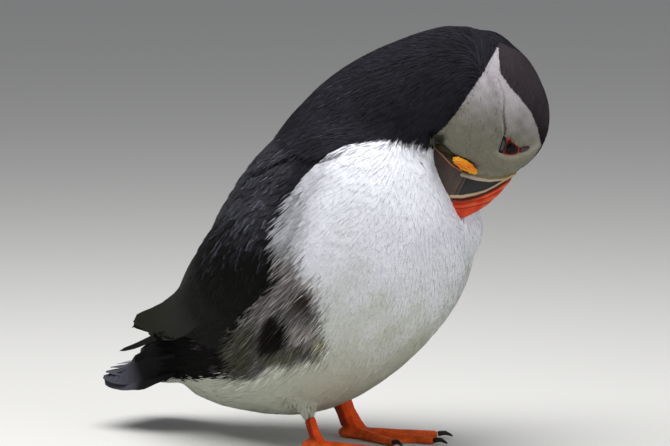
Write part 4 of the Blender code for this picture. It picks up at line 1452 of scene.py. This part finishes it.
class PUFFIN_OT_wing_feathers(bpy.types.Operator):
    """Lay the coverts and the long feathers of both folded wings"""

    bl_idname = "puffin.wing_feathers"
    bl_label = "Wing feathers"

    def execute(self, context):
        black, kinds = Palette("plumage").wing, ("covert", "quill", "covert_streak")
        for side, word in SIDES:
            coat(f"wing_coverts_{word}", kinds, "vaned", "black_feathers", lambda p, s=side: p[:, 1] * s > 0)
            self.rows(side, word, black)
        self.spike(black)
        return {"FINISHED"}

    def rows(self, side, word, black):
        """The long feathers that make the blade of the wing, the upper ones over the lower."""
        knots = np.array(WING_LINE) * (1, -side, 1, 1)
        shares = np.linspace(0, 1, len(knots))
        tree, steps = shared_form().tree, 12
        out = Vector((-0.25, side * 0.97, 0.0)).normalized()
        lines, normals = [], []
        for root, end, low, high, _ in FLIGHT:
            for t in np.linspace(0, 1, steps + 1):
                place = root + (end - root) * t
                x, y, z, half = (np.interp(place, shares, knots[:, k]) for k in range(4))
                aim = Vector((x, y, z + (low + (high - low) * t) * half * 0.92))
                hit = tree.ray_cast(aim + out * 40, -out, 60.0)
                if hit[0] is None or (hit[0] - aim).length > 12:
                    near = tree.find_nearest(aim)
                    hit = (near[0], out)
                lines.append(hit[0])
                normals.append(hit[1])
        lines, normals = (np.array(v).reshape(len(FLIGHT), steps + 1, 3) for v in (lines, normals))
        normals = unit(normals + np.array(out) * 0.5)
        for _ in range(4):
            for rows in (lines, normals):
                rows[:, 1:-1] = (rows[:, :-2] + 2 * rows[:, 1:-1] + rows[:, 2:]) / 4
        olive = black * (2.3, 2.4, 1.1)
        tones = np.tile(olive, (len(FLIGHT), steps + 1, 1)) * np.linspace(0.8, 1.3, len(FLIGHT))[:, None, None]
        tones = mix(black * 0.8, tones, ramp(np.linspace(0, 1, steps + 1), 0.15, 0.75)[None])
        widths = [f[4] for f in FLIGHT]
        long_vanes(f"flight_feathers_{word}", lines, unit(normals), widths, tones, 1.5, 0.15, 0.08, 10.0, 1.2)

    def spike(self, black):
        """The slim feather tip below the right wing's blade."""
        knots = np.array(WING_SPIKE)
        t = np.linspace(0, len(knots) - 1, 11)
        line = np.stack([np.interp(t, range(len(knots)), knots[:, k]) for k in range(3)], 1)[None]
        normals = np.tile(unit(np.array((-0.45, -0.85, 0.1))), (1, 11, 1))
        tones = np.tile(black * 0.8, (1, 11, 1))
        long_vanes("wing_spike", line, normals, [WING_SPIKE_WIDTH], tones, 1.5, 0.0, 0.15, 2.0)


class PUFFIN_OT_tail_feathers(bpy.types.Operator):
    """Fan the tail feathers above and below, with their coverts"""

    bl_idname = "puffin.tail_feathers"
    bl_label = "Tail feathers"

    def execute(self, context):
        hue = Palette("plumage")
        coat("tail_coverts", ("tail_covert",), "vaned", "black_feathers", lambda p: p[:, 0] > TAIL_COVERTS_END)
        places = np.linspace(-1, 1, TAIL_QUILLS)
        places = places[np.argsort(-np.abs(places), kind="stable")]
        knots, t = np.array(TAIL_TENT), np.linspace(0, 1, 15)
        for word, up in (("above", 1), ("below", -1)):
            turn = np.radians(TAIL_TURN * places)[:, None]
            x = knots[0, 0] + (knots[-1, 0] - knots[0, 0] + TAIL_ROUNDING * places[:, None] ** 2) * t
            wide, top, low = (np.interp(-x, -knots[:, 0], knots[:, k]) for k in (1, 2, 3))
            y = wide * np.sin(turn) / math.sin(math.radians(TAIL_TURN))
            z = low + (top - low) * np.cos(turn) if up > 0 else low + 0.8 * np.sin(turn) ** 2
            lines = np.stack((x, y, z), 2)
            normals = np.stack((0.1 + 0 * y, up * y / wide**2, np.cos(turn) / (top - low) * up + 0 * y), 2)
            behind = TAIL_TIP_FROM - x + 2 * np.sin(9 * turn)
            tones = mix(hue.tail, hue.tail_tip, ramp(behind, -1.5, 1.5))
            tones = tones * (0.85 + 0.35 * (np.arange(TAIL_QUILLS) * 0.618 % 1))[:, None, None]
            widths = [TAIL_WIDTH] * TAIL_QUILLS
            long_vanes(f"tail_quills_{word}", lines, unit(normals), widths, tones, 1.3, 0.25, 0.06, 5.0)
        return {"FINISHED"}


class PUFFIN_OT_bill(bpy.types.Operator):
    """Shape and paint both halves of the bill"""

    bl_idname = "puffin.bill"
    bl_label = "Bill"

    def execute(self, context):
        look = horn_material()
        for half, node in (("upper", "bill_upper"), ("lower", "bill_lower")):
            obj, points, normals = smooth_copy([node], f"{half}_bill", BILL_VOXEL, 3)
            points = close_mouth(points, half)
            height, colours = (upper_bill if half == "upper" else lower_bill)(to_head(points))
            shaped_piece(obj, points + normals * height[:, None], colours, look, "bill_horn", [node])
        return {"FINISHED"}


def close_mouth(points, half):
    """Brings the two halves together along the mouth, and the lower half back to the chin."""
    local = to_head(points)
    over = local[:, 2] - along(MOUTH, local[:, 0])
    if half == "upper":
        local[:, 2] -= MOUTH_CLOSE * (1 - ramp(over, 0.6, 1.8))
    else:
        local[:, 2] += MOUTH_CLOSE * ramp(over, -1.8, -0.6)
        local[:, 2] -= CHIN_REACH * ramp(-local[:, 2], 7.0, 16.0) * (1 - ramp(local[:, 0], 6.0, 13.0))
    return from_head(local)


def soft_band(distance, half, blur=0.22):
    """1 within half of a line and 0 beyond, with a soft edge."""
    return 1 - ramp(np.abs(distance), half - blur, half + blur)


def upper_bill(local):
    """Relief and colour of the upper half: rim, slate, stripe, groove and the grooved red end."""
    hue = Palette("bare_parts")
    side = local[:, (0, 2)]
    rim, stripe = line_distance(side, RIM), line_distance(side, STRIPE)
    lip = np.abs(line_distance(side, MOUTH))
    streak = ripple(local, 2.5, 31)
    slim = 1 - 0.45 * ramp(side[:, 1], 2.0, 12.0)
    height = 0.6 * bell(rim, 0.7) + 0.30 * soft_band(stripe, 0.6, 0.4)
    height -= 0.5 * ramp(-rim, 1.0, 2.0)
    height -= 0.35 * soft_band(stripe - 1.2, 0.45, 0.3)
    # The red pales to orange in streaks towards the ridge: a painted highlight.
    red = mix(hue.red, hue.orange, np.clip(0.25 + 0.3 * streak, 0, 0.7) * ramp(side[:, 1], -2.0, 8.0))
    # Each groove is painted darker in the red, as shade, with a paler orange ridge of its own beside it.
    for place in TIP_GROOVES:
        height -= 0.18 * soft_band(stripe - place, 0.32, 0.3)
        red = mix(red, hue.red * 0.45, 0.6 * soft_band(stripe - place, 0.30, 0.3))
        red = mix(red, hue.orange * (1.0, 1.15, 1.3), 0.6 * soft_band(stripe - place + 0.7, 0.22, 0.25))
    red = mix(red, hue.red * 0.5, 0.75 * (1 - ramp(stripe, 2.2, 4.2)) * (1 - ramp(side[:, 1], 4.0, 12.0)))
    height += LIP_SWELL * (1 - ramp(lip, 0.3, 1.4))
    slate = mix(hue.slate, hue.slate * 0.72, ramp(-rim, -4.0, 0.0))
    slate = mix(slate, hue.brown * 0.75, 1 - ramp(lip, 2.1, 2.5))
    slate = mix(slate, hue.brown * 1.7, 0.8 * soft_band(lip - 2.3, 0.24) + 0.7 * soft_band(lip - 0.55, 0.42))
    cream = mix(hue.cream, hue.cream * (1.0, 0.86, 0.45), ramp(side[:, 1], 10.0, 18.0) * (rim < 1.5))
    out = mix(slate, red, ramp(stripe, 0.9, 1.5))
    # The groove just past the stripe is painted near black, as shade.
    out = mix(out, hue.red * 0.14, 0.95 * soft_band((stripe - 1.25) / slim, 0.70, 0.3))
    out = mix(out, cream * (1.05, 0.88, 0.74), soft_band(stripe / slim, 0.62))
    out = mix(out, cream, soft_band(rim / slim, 0.80))
    out = mix(out, hue.cream * (0.45, 0.43, 0.28), ramp(-rim / slim, 0.7, 1.1))
    return height, out


def lower_bill(local):
    """Relief and colour of the lower half: orange line at the base, slate brown, stripe and red end."""
    hue = Palette("bare_parts")
    side = local[:, (0, 2)]
    base, stripe = line_distance(side, ORANGE_LINE), line_distance(side, LOWER_STRIPE[::-1])
    lip = np.abs(line_distance(side, MOUTH))
    height = 0.25 * soft_band(base, 0.4, 0.3) + 0.25 * soft_band(stripe, 0.7, 0.4)
    height += LIP_SWELL * (1 - ramp(lip, 0.3, 1.4))
    out = mix(hue.brown, hue.brown * 0.70, ramp(-side[:, 1], 4.0, 12.0))
    out = mix(out, hue.brown * 1.45, 0.7 * (1 - ramp(lip, 0.5, 0.9)))
    red = hue.red
    # Each groove is painted darker in the red, as shade.
    for place in TIP_GROOVES:
        height -= 0.22 * soft_band(stripe - place, 0.32, 0.3)
        red = mix(red, hue.red * 0.32, 0.7 * soft_band(stripe - place, 0.30, 0.3))
    out = mix(out, red, ramp(stripe, 0.6, 1.0))
    out = mix(out, hue.cream * (1.0, 0.86, 0.66), soft_band(stripe, 0.55))
    out = mix(out, hue.red * 0.22, 0.8 * soft_band(base - 0.60, 0.22, 0.15))
    out = mix(out, hue.cream * (0.12, 0.10, 0.05), ramp(-base, 0.2, 0.5))
    out = mix(out, hue.cream * (1.0, 0.55, 0.42), 0.85 * soft_band(base, 0.20, 0.12))
    return height, out


class PUFFIN_OT_rosettes(bpy.types.Operator):
    """Wrinkle the fleshy rosettes at the corners of the mouth"""

    bl_idname = "puffin.rosettes"
    bl_label = "Rosettes"

    def execute(self, context):
        hue = Palette("bare_parts")
        look = flesh_material("rosette_skin", 0.45, 0.5, 0.10, 0.1, 0.3)
        for word in ("left", "right"):
            node = f"rosette_{word}"
            obj, points, normals = smooth_copy([node], f"mouth_{node}", ROSETTE_VOXEL, 6)
            local = to_head(points)
            length_way = local[:, 2] * math.cos(PLEAT_LEAN) + local[:, 0] * math.sin(PLEAT_LEAN)
            cross_way = local[:, 0] * math.cos(PLEAT_LEAN) - local[:, 2] * math.sin(PLEAT_LEAN)
            waver = ripple(local, 1.6, 41)
            pleats = np.cos((cross_way + 0.35 * waver) * 2 * math.pi / PLEAT_STEP)
            notch = bell(length_way - 0.6, 0.8) * ramp(cross_way, 2.5, 5.0)
            rise = PLEAT_RISE * pleats - 0.5 * notch + 0.1 * waver
            tone = mix(hue.rosette, hue.rosette * (0.85, 0.42, 1.0),
                       np.clip(0.30 - 0.30 * pleats + 0.25 * waver, 0, 0.85))
            rim = 1 - ramp(inside(local[:, (0, 2)], ROSETTE), 0.1, 0.8)
            tone = mix(tone, hue.rosette * (1.05, 1.55, 8.0), 0.7 * rim)
            shaped_piece(obj, points + normals * rise[:, None], tone, look, "rosette_skin", [node])
        return {"FINISHED"}


def tree_of(*nodes):
    """A tree of CAD nodes together, to lay things over the joins between them."""
    if nodes not in shared:
        points, faces = [], []
        for node in nodes:
            more, _, triangles = read(frame["nodes"][node].data)
            faces += (triangles + len(points)).tolist()
            points += more.tolist()
        shared[nodes] = BVHTree.FromPolygons(points, faces)
    return shared[nodes]


def on_side(outline, side, tree):
    """Points on the side of the head, and the way out from it, for (forward, up) pairs."""
    out = HEAD_AXES[1] * side
    points, normals = [], []
    for f, c in outline:
        start = from_head((f, side * 40.0, c))
        hit = tree.ray_cast(Vector(start), Vector(-out), 60.0)
        if hit[0] is None:
            hit = tree.find_nearest(Vector(from_head((f, side * 8.0, c))))
        points.append(np.array(hit[0]))
        normals.append(np.array(hit[1]))
    normals = np.array(normals)
    normals *= np.sign((normals * out).sum(1))[:, None]
    return np.array(points), unit(normals + out)


def rounded(outline, count):
    """A closed outline resampled evenly, its corners a little rounded."""
    ring = np.array([*outline, outline[0]], float)
    steps = np.append(0, np.cumsum(np.linalg.norm(np.diff(ring, axis=0), axis=1)))
    places = np.linspace(0, steps[-1], count, endpoint=False)
    even = np.stack([np.interp(places, steps, ring[:, k]) for k in range(2)], 1)
    return (np.roll(even, 1, 0) + 2 * even + np.roll(even, -1, 0)) / 4


def pad(name, outline, side, tree, height, colours, hole=None, edge=(0.22, 0.42), sunk=0.5):
    """A cushion of bare skin over an outline on the head's side: closed, domed, edge and middle in two
    colours that meet within the edge's shares. With a hole (forward, up, radius) it is a ring round it."""
    count, rings = PAD_CORNERS, PAD_RINGS
    outer = rounded(outline, count)
    if hole:
        centre = np.array(hole[:2])
        inner = centre + unit(outer - centre) * hole[2]
    else:
        centre = outer.mean(0)
        inner = centre + (outer - centre) * 0.04
    shares = np.linspace(0, 1, rings)
    plan = outer[None] + (inner - outer)[None] * shares[:, None, None]
    base, out = on_side(plan.reshape(-1, 2), side, tree)
    base, out = base.reshape(rings, count, 3), out.reshape(rings, count, 3)
    if hole:
        dome = np.sin(np.pi * np.clip(shares * 0.92 + 0.04, 0, 1)) ** 0.6 * height
    else:
        dome = np.sqrt(1 - (1 - shares) ** 2.5) * height
    top = base + out * dome[:, None, None]
    under = base - out * sunk
    points = np.concatenate((top.reshape(-1, 3), under.reshape(-1, 3)))
    size = rings * count
    faces = []
    for k in range(rings - 1):
        for j in range(count):
            a, b = k * count + j, k * count + (j + 1) % count
            c, d = a + count, b + count
            faces += [(a, b, d), (a, d, c), (a + size, d + size, b + size), (a + size, c + size, d + size)]
    last = (rings - 1) * count
    for j in range(count):
        b = (j + 1) % count
        faces += [(j, size + b, b), (j, size + j, size + b)]
        if hole:
            a, c = last + j, last + b
            faces += [(a, c, size + c), (a, size + c, size + a)]
    if not hole:
        points = np.concatenate((points, top[-1].mean(0)[None], under[-1].mean(0)[None]))
        for j in range(count):
            a, b = last + j, last + (j + 1) % count
            faces += [(a, b, 2 * size), (a + size, 2 * size + 1, b + size)]
    blend = ramp(shares, *edge)
    tone = np.repeat(mix(*colours, blend), count, axis=0)
    tone = np.concatenate((tone, tone, np.tile(colours[1], (len(points) - 2 * size, 1))))
    obj = mesh_object(name, points, np.array(faces), tone)
    on_all_faces(obj, (bpy.ops.mesh.normals_make_consistent, {"inside": False}))
    return obj


class PUFFIN_OT_eyes(bpy.types.Operator):
    """Set the eyes, their red rings, their plates and the strip behind the lower bill"""

    bl_idname = "puffin.eyes"
    bl_label = "Eyes and bare skin"

    def execute(self, context):
        hue, tree = Palette("bare_parts"), shared_form().tree
        wet, soft = eye_material(), flesh_material("orbit_skin", 0.6, 0.35, 0.05, 0.0, 0.12)
        face, olive = tree_of("head", "bill_upper", "bill_lower"), hue.cream * (0.10, 0.09, 0.045)
        ring = {"hole": (*EYE_OPENING, EYE_VISIBLE), "edge": (0.10, 0.50)}
        pads = (
            ("eye_ring", RING, tree, 0.45, (hue.ring, hue.ring * 0.10), ring),
            ("eye_bar", BAR, tree, 0.65, (hue.plate * 0.08, hue.plate * 0.8), {"edge": (0.25, 0.6)}),
            ("eye_plate", PLATE, tree, 0.75, (hue.ring * 0.30, hue.plate * (0.55, 0.70, 0.66)), {}),
            ("gape_strip", GAPE_STRIP, face, 0.5, (olive * 0.7, olive), {"sunk": 0.6}),
        )
        for side, word in SIDES:
            self.ball(side, word, wet)
            for name, outline, ground, height, colours, more in pads:
                obj = pad(f"{name}_{word}", outline, side, ground, height, colours, **more)
                finish_piece(obj, soft, "rosette_skin")
        return {"FINISHED"}

    def ball(self, side, word, wet):
        """An eyeball with its pupil, iris and a swelling cornea."""
        hue = Palette("bare_parts")
        base, outward = on_side([EYE_OPENING], side, shared_form().tree)
        centre = base[0] - outward[0] * (EYE_RADIUS - EYE_STANDS_OUT)
        deselect()
        bpy.ops.mesh.primitive_uv_sphere_add(segments=48, ring_count=32, radius=EYE_RADIUS * MM)
        obj = bpy.context.object
        obj.name = obj.data.name = f"eyeball_{word}"
        turn = np.array(Vector(unit(HEAD_AXES[1] * side)).to_track_quat("Z", "Y").to_matrix())
        points = read(obj.data)[0]
        off_axis = np.hypot(points[:, 0], points[:, 1])
        points[:, 2] += np.where(points[:, 2] > 0, CORNEA * np.clip(1 - (off_axis / 2.0) ** 2, 0, 1), 0)
        pupil = 1 - ramp(off_axis, PUPIL - 0.1, PUPIL + 0.1)
        tone = mix(hue.iris, np.array((0.003, 0.003, 0.004)), pupil)
        tone = mix(tone, np.array((0.004, 0.003, 0.003)), ramp(off_axis, 1.8, 2.1))
        shaped_piece(obj, points @ turn.T + centre, tone, wet, "eye", [f"eye_{word}"])


def stretch_shank(obj, node):
    """Gives a shank its depth, a foot that flares forward, and a slim end up in the fluff."""
    points = read(obj.data)[0]
    low, high = points[:, 2].min(), points[:, 2].max()
    share = (points[:, 2] - low) / (high - low)
    foot, head = points[share < 0.1].mean(0), points[share > 0.9].mean(0)
    axis = foot + (head - foot) * share[:, None]
    deep, wide = SHANK_SWELL[node]
    off = points - axis
    ahead = (off @ LEG_FRONT)[:, None] * LEG_FRONT
    flare = 1 + 0.30 * (1 - ramp(share, 0.0, 0.35)) * (off @ LEG_FRONT > 0)
    slim = (1 - SHANK_SLIM[node] * ramp(share, 0.55, 0.95)) * flare
    points = axis + (ahead * deep + (off - ahead) * wide) * slim[:, None]
    end = THIGH_ENDS[node.replace("shank", "thigh")] + 3.0
    run = (head - foot) / (high - low)
    write(obj.data, points + (share * (end - high))[:, None] * run)


def off_the_floor(points):
    """How freely each point of a leg moves as it is smoothed: not at all where the foot stands."""
    return ramp(points[:, 2], 0.05, 0.8)


class PUFFIN_OT_legs(bpy.types.Operator):
    """Make the scaly legs with their webbed feet, and the claws"""

    bl_idname = "puffin.legs"
    bl_label = "Legs and feet"

    def execute(self, context):
        hue = Palette("bare_parts")
        skin = flesh_material("leg_skin", 0.55, 0.8, 0.10, 0.0, 0.22)
        horn = horn_material()
        for word in ("left", "right"):
            nodes = [f"shank_{word}", f"foot_{word}"]
            name, shapers = f"scaly_leg_{word}", {f"shank_{word}": stretch_shank}
            obj, points, normals = smooth_copy(nodes, name, LEG_VOXEL, 10, off_the_floor, shapers)
            scutes = np.sin(points @ (0.3, 0.2, 1.0) * 2 * math.pi / SCUTE) * ramp(points[:, 2], 5.0, 7.0)
            web = 1 - ramp(points[:, 2], 2.0, 6.0)
            tone = mix(hue.leg, hue.orange * (1.0, 1.05, 0.7), 0.65 * web)
            # The rear side of each shank is painted dark red, as shade.
            rear = ramp(-(normals @ LEG_FRONT), -0.05, 0.45) * ramp(points[:, 2], 3.0, 6.0)
            tone = mix(tone, hue.leg * (0.22, 0.10, 0.25), 0.85 * rear)
            tone = tone * (1 + 0.14 * ripple(points, 3.0, 51) + 0.10 * scutes)[:, None]
            shaped_piece(obj, points + normals * (0.05 * scutes)[:, None], tone, skin, "leg_skin", nodes)
        for node in sorted(n for n in frame["nodes"] if "claw" in n):
            obj, points, _ = smooth_copy([node], f"horn_{node}", CLAW_VOXEL, 5)
            shaped_piece(obj, points, hue.claw, horn, "claw_horn", [node])
        return {"FINISHED"}


class PUFFIN_OT_stage(bpy.types.Operator):
    """Set the floor, the lights and the camera"""

    bl_idname = "puffin.stage"
    bl_label = "Stage"

    def execute(self, context):
        scene = context.scene
        stage = scene.puffin_stage
        deselect()
        bpy.ops.mesh.primitive_plane_add(size=30, location=(0, 0, -0.0002))
        floor = context.object
        floor.name = floor.data.name = "stage_floor"
        floor.data.materials.append(floor_material(stage.floor))

        world = bpy.data.worlds.new("studio")
        scene.world = world
        world.use_nodes = True
        sky = world.node_tree.nodes["Background"]
        sky.inputs["Color"].default_value = (0.93, 0.95, 1.0, 1.0)
        sky.inputs["Strength"].default_value = stage.fill

        a, e = stage.azimuth, stage.elevation
        right = Vector((math.cos(a), math.sin(a), 0))
        back = Vector((math.sin(a) * math.cos(e), -math.cos(a) * math.cos(e), math.sin(e)))
        up = back.cross(right)
        middle = (CAD_BOX[0] + CAD_BOX[1]) / 2
        axes = Matrix((right, up, back)).transposed()
        target = middle + axes @ Vector(AIM)
        self.lamp("key", target + Vector(KEY_PLACE), target, KEY_WIDTH, stage.key)
        self.lamp("side", target + axes @ Vector(SIDE_PLACE), target, SIDE_WIDTH, stage.key * SIDE_SHARE)
        data = bpy.data.cameras.new("camera")
        camera = bpy.data.objects.new("camera", data)
        scene.collection.objects.link(camera)
        data.lens, data.sensor_width, data.clip_end = stage.lens, 36.0, 100.0
        place = target + back * stage.distance
        camera.matrix_world = Matrix.Translation(place) @ axes.to_4x4()
        scene.camera = camera
        scene.view_settings.view_transform = "Standard"
        return {"FINISHED"}

    def lamp(self, name, place, target, size, power):
        data = bpy.data.lights.new(name, "AREA")
        data.shape, data.size, data.energy = "DISK", size, power
        lamp = bpy.data.objects.new(name, data)
        bpy.context.scene.collection.objects.link(lamp)
        lamp.location = place
        lamp.rotation_euler = (target - place).to_track_quat("-Z", "Y").to_euler()


class PUFFIN_PT_panel(bpy.types.Panel):
    bl_label = "Puffin"
    bl_idname = "PUFFIN_PT_panel"
    bl_space_type = "VIEW_3D"
    bl_region_type = "UI"
    bl_category = "Puffin"

    def draw(self, context):
        for name, _ in GROUPS:
            box, group = self.layout.box(), getattr(context.scene, name)
            for key in group.bl_rna.properties.keys():
                if key not in ("rna_type", "name"):
                    box.prop(group, key)
        for operator in OPERATORS:
            self.layout.operator(operator.bl_idname)


OPERATORS = (
    PUFFIN_OT_skin,
    PUFFIN_OT_white_feathers,
    PUFFIN_OT_flank_feathers,
    PUFFIN_OT_dark_feathers,
    PUFFIN_OT_head_feathers,
    PUFFIN_OT_wing_feathers,
    PUFFIN_OT_tail_feathers,
    PUFFIN_OT_bill,
    PUFFIN_OT_rosettes,
    PUFFIN_OT_eyes,
    PUFFIN_OT_legs,
    PUFFIN_OT_stage,
)
GROUPS = (
    ("puffin_plumage", PUFFIN_PG_plumage),
    ("puffin_bare_parts", PUFFIN_PG_bare_parts),
    ("puffin_stage", PUFFIN_PG_stage),
)


def register():
    for name, group in GROUPS:
        bpy.utils.register_class(group)
        setattr(bpy.types.Scene, name, PointerProperty(type=group))
    for made in (*OPERATORS, PUFFIN_PT_panel):
        bpy.utils.register_class(made)


def unregister():
    for made in (PUFFIN_PT_panel, *reversed(OPERATORS)):
        bpy.utils.unregister_class(made)
    for name, group in reversed(GROUPS):
        delattr(bpy.types.Scene, name)
        bpy.utils.unregister_class(group)


def main():
    register()
    for operator in OPERATORS:
        family, name = operator.bl_idname.split(".")
        getattr(getattr(bpy.ops, family), name)()


if __name__ == "__main__":
    main()
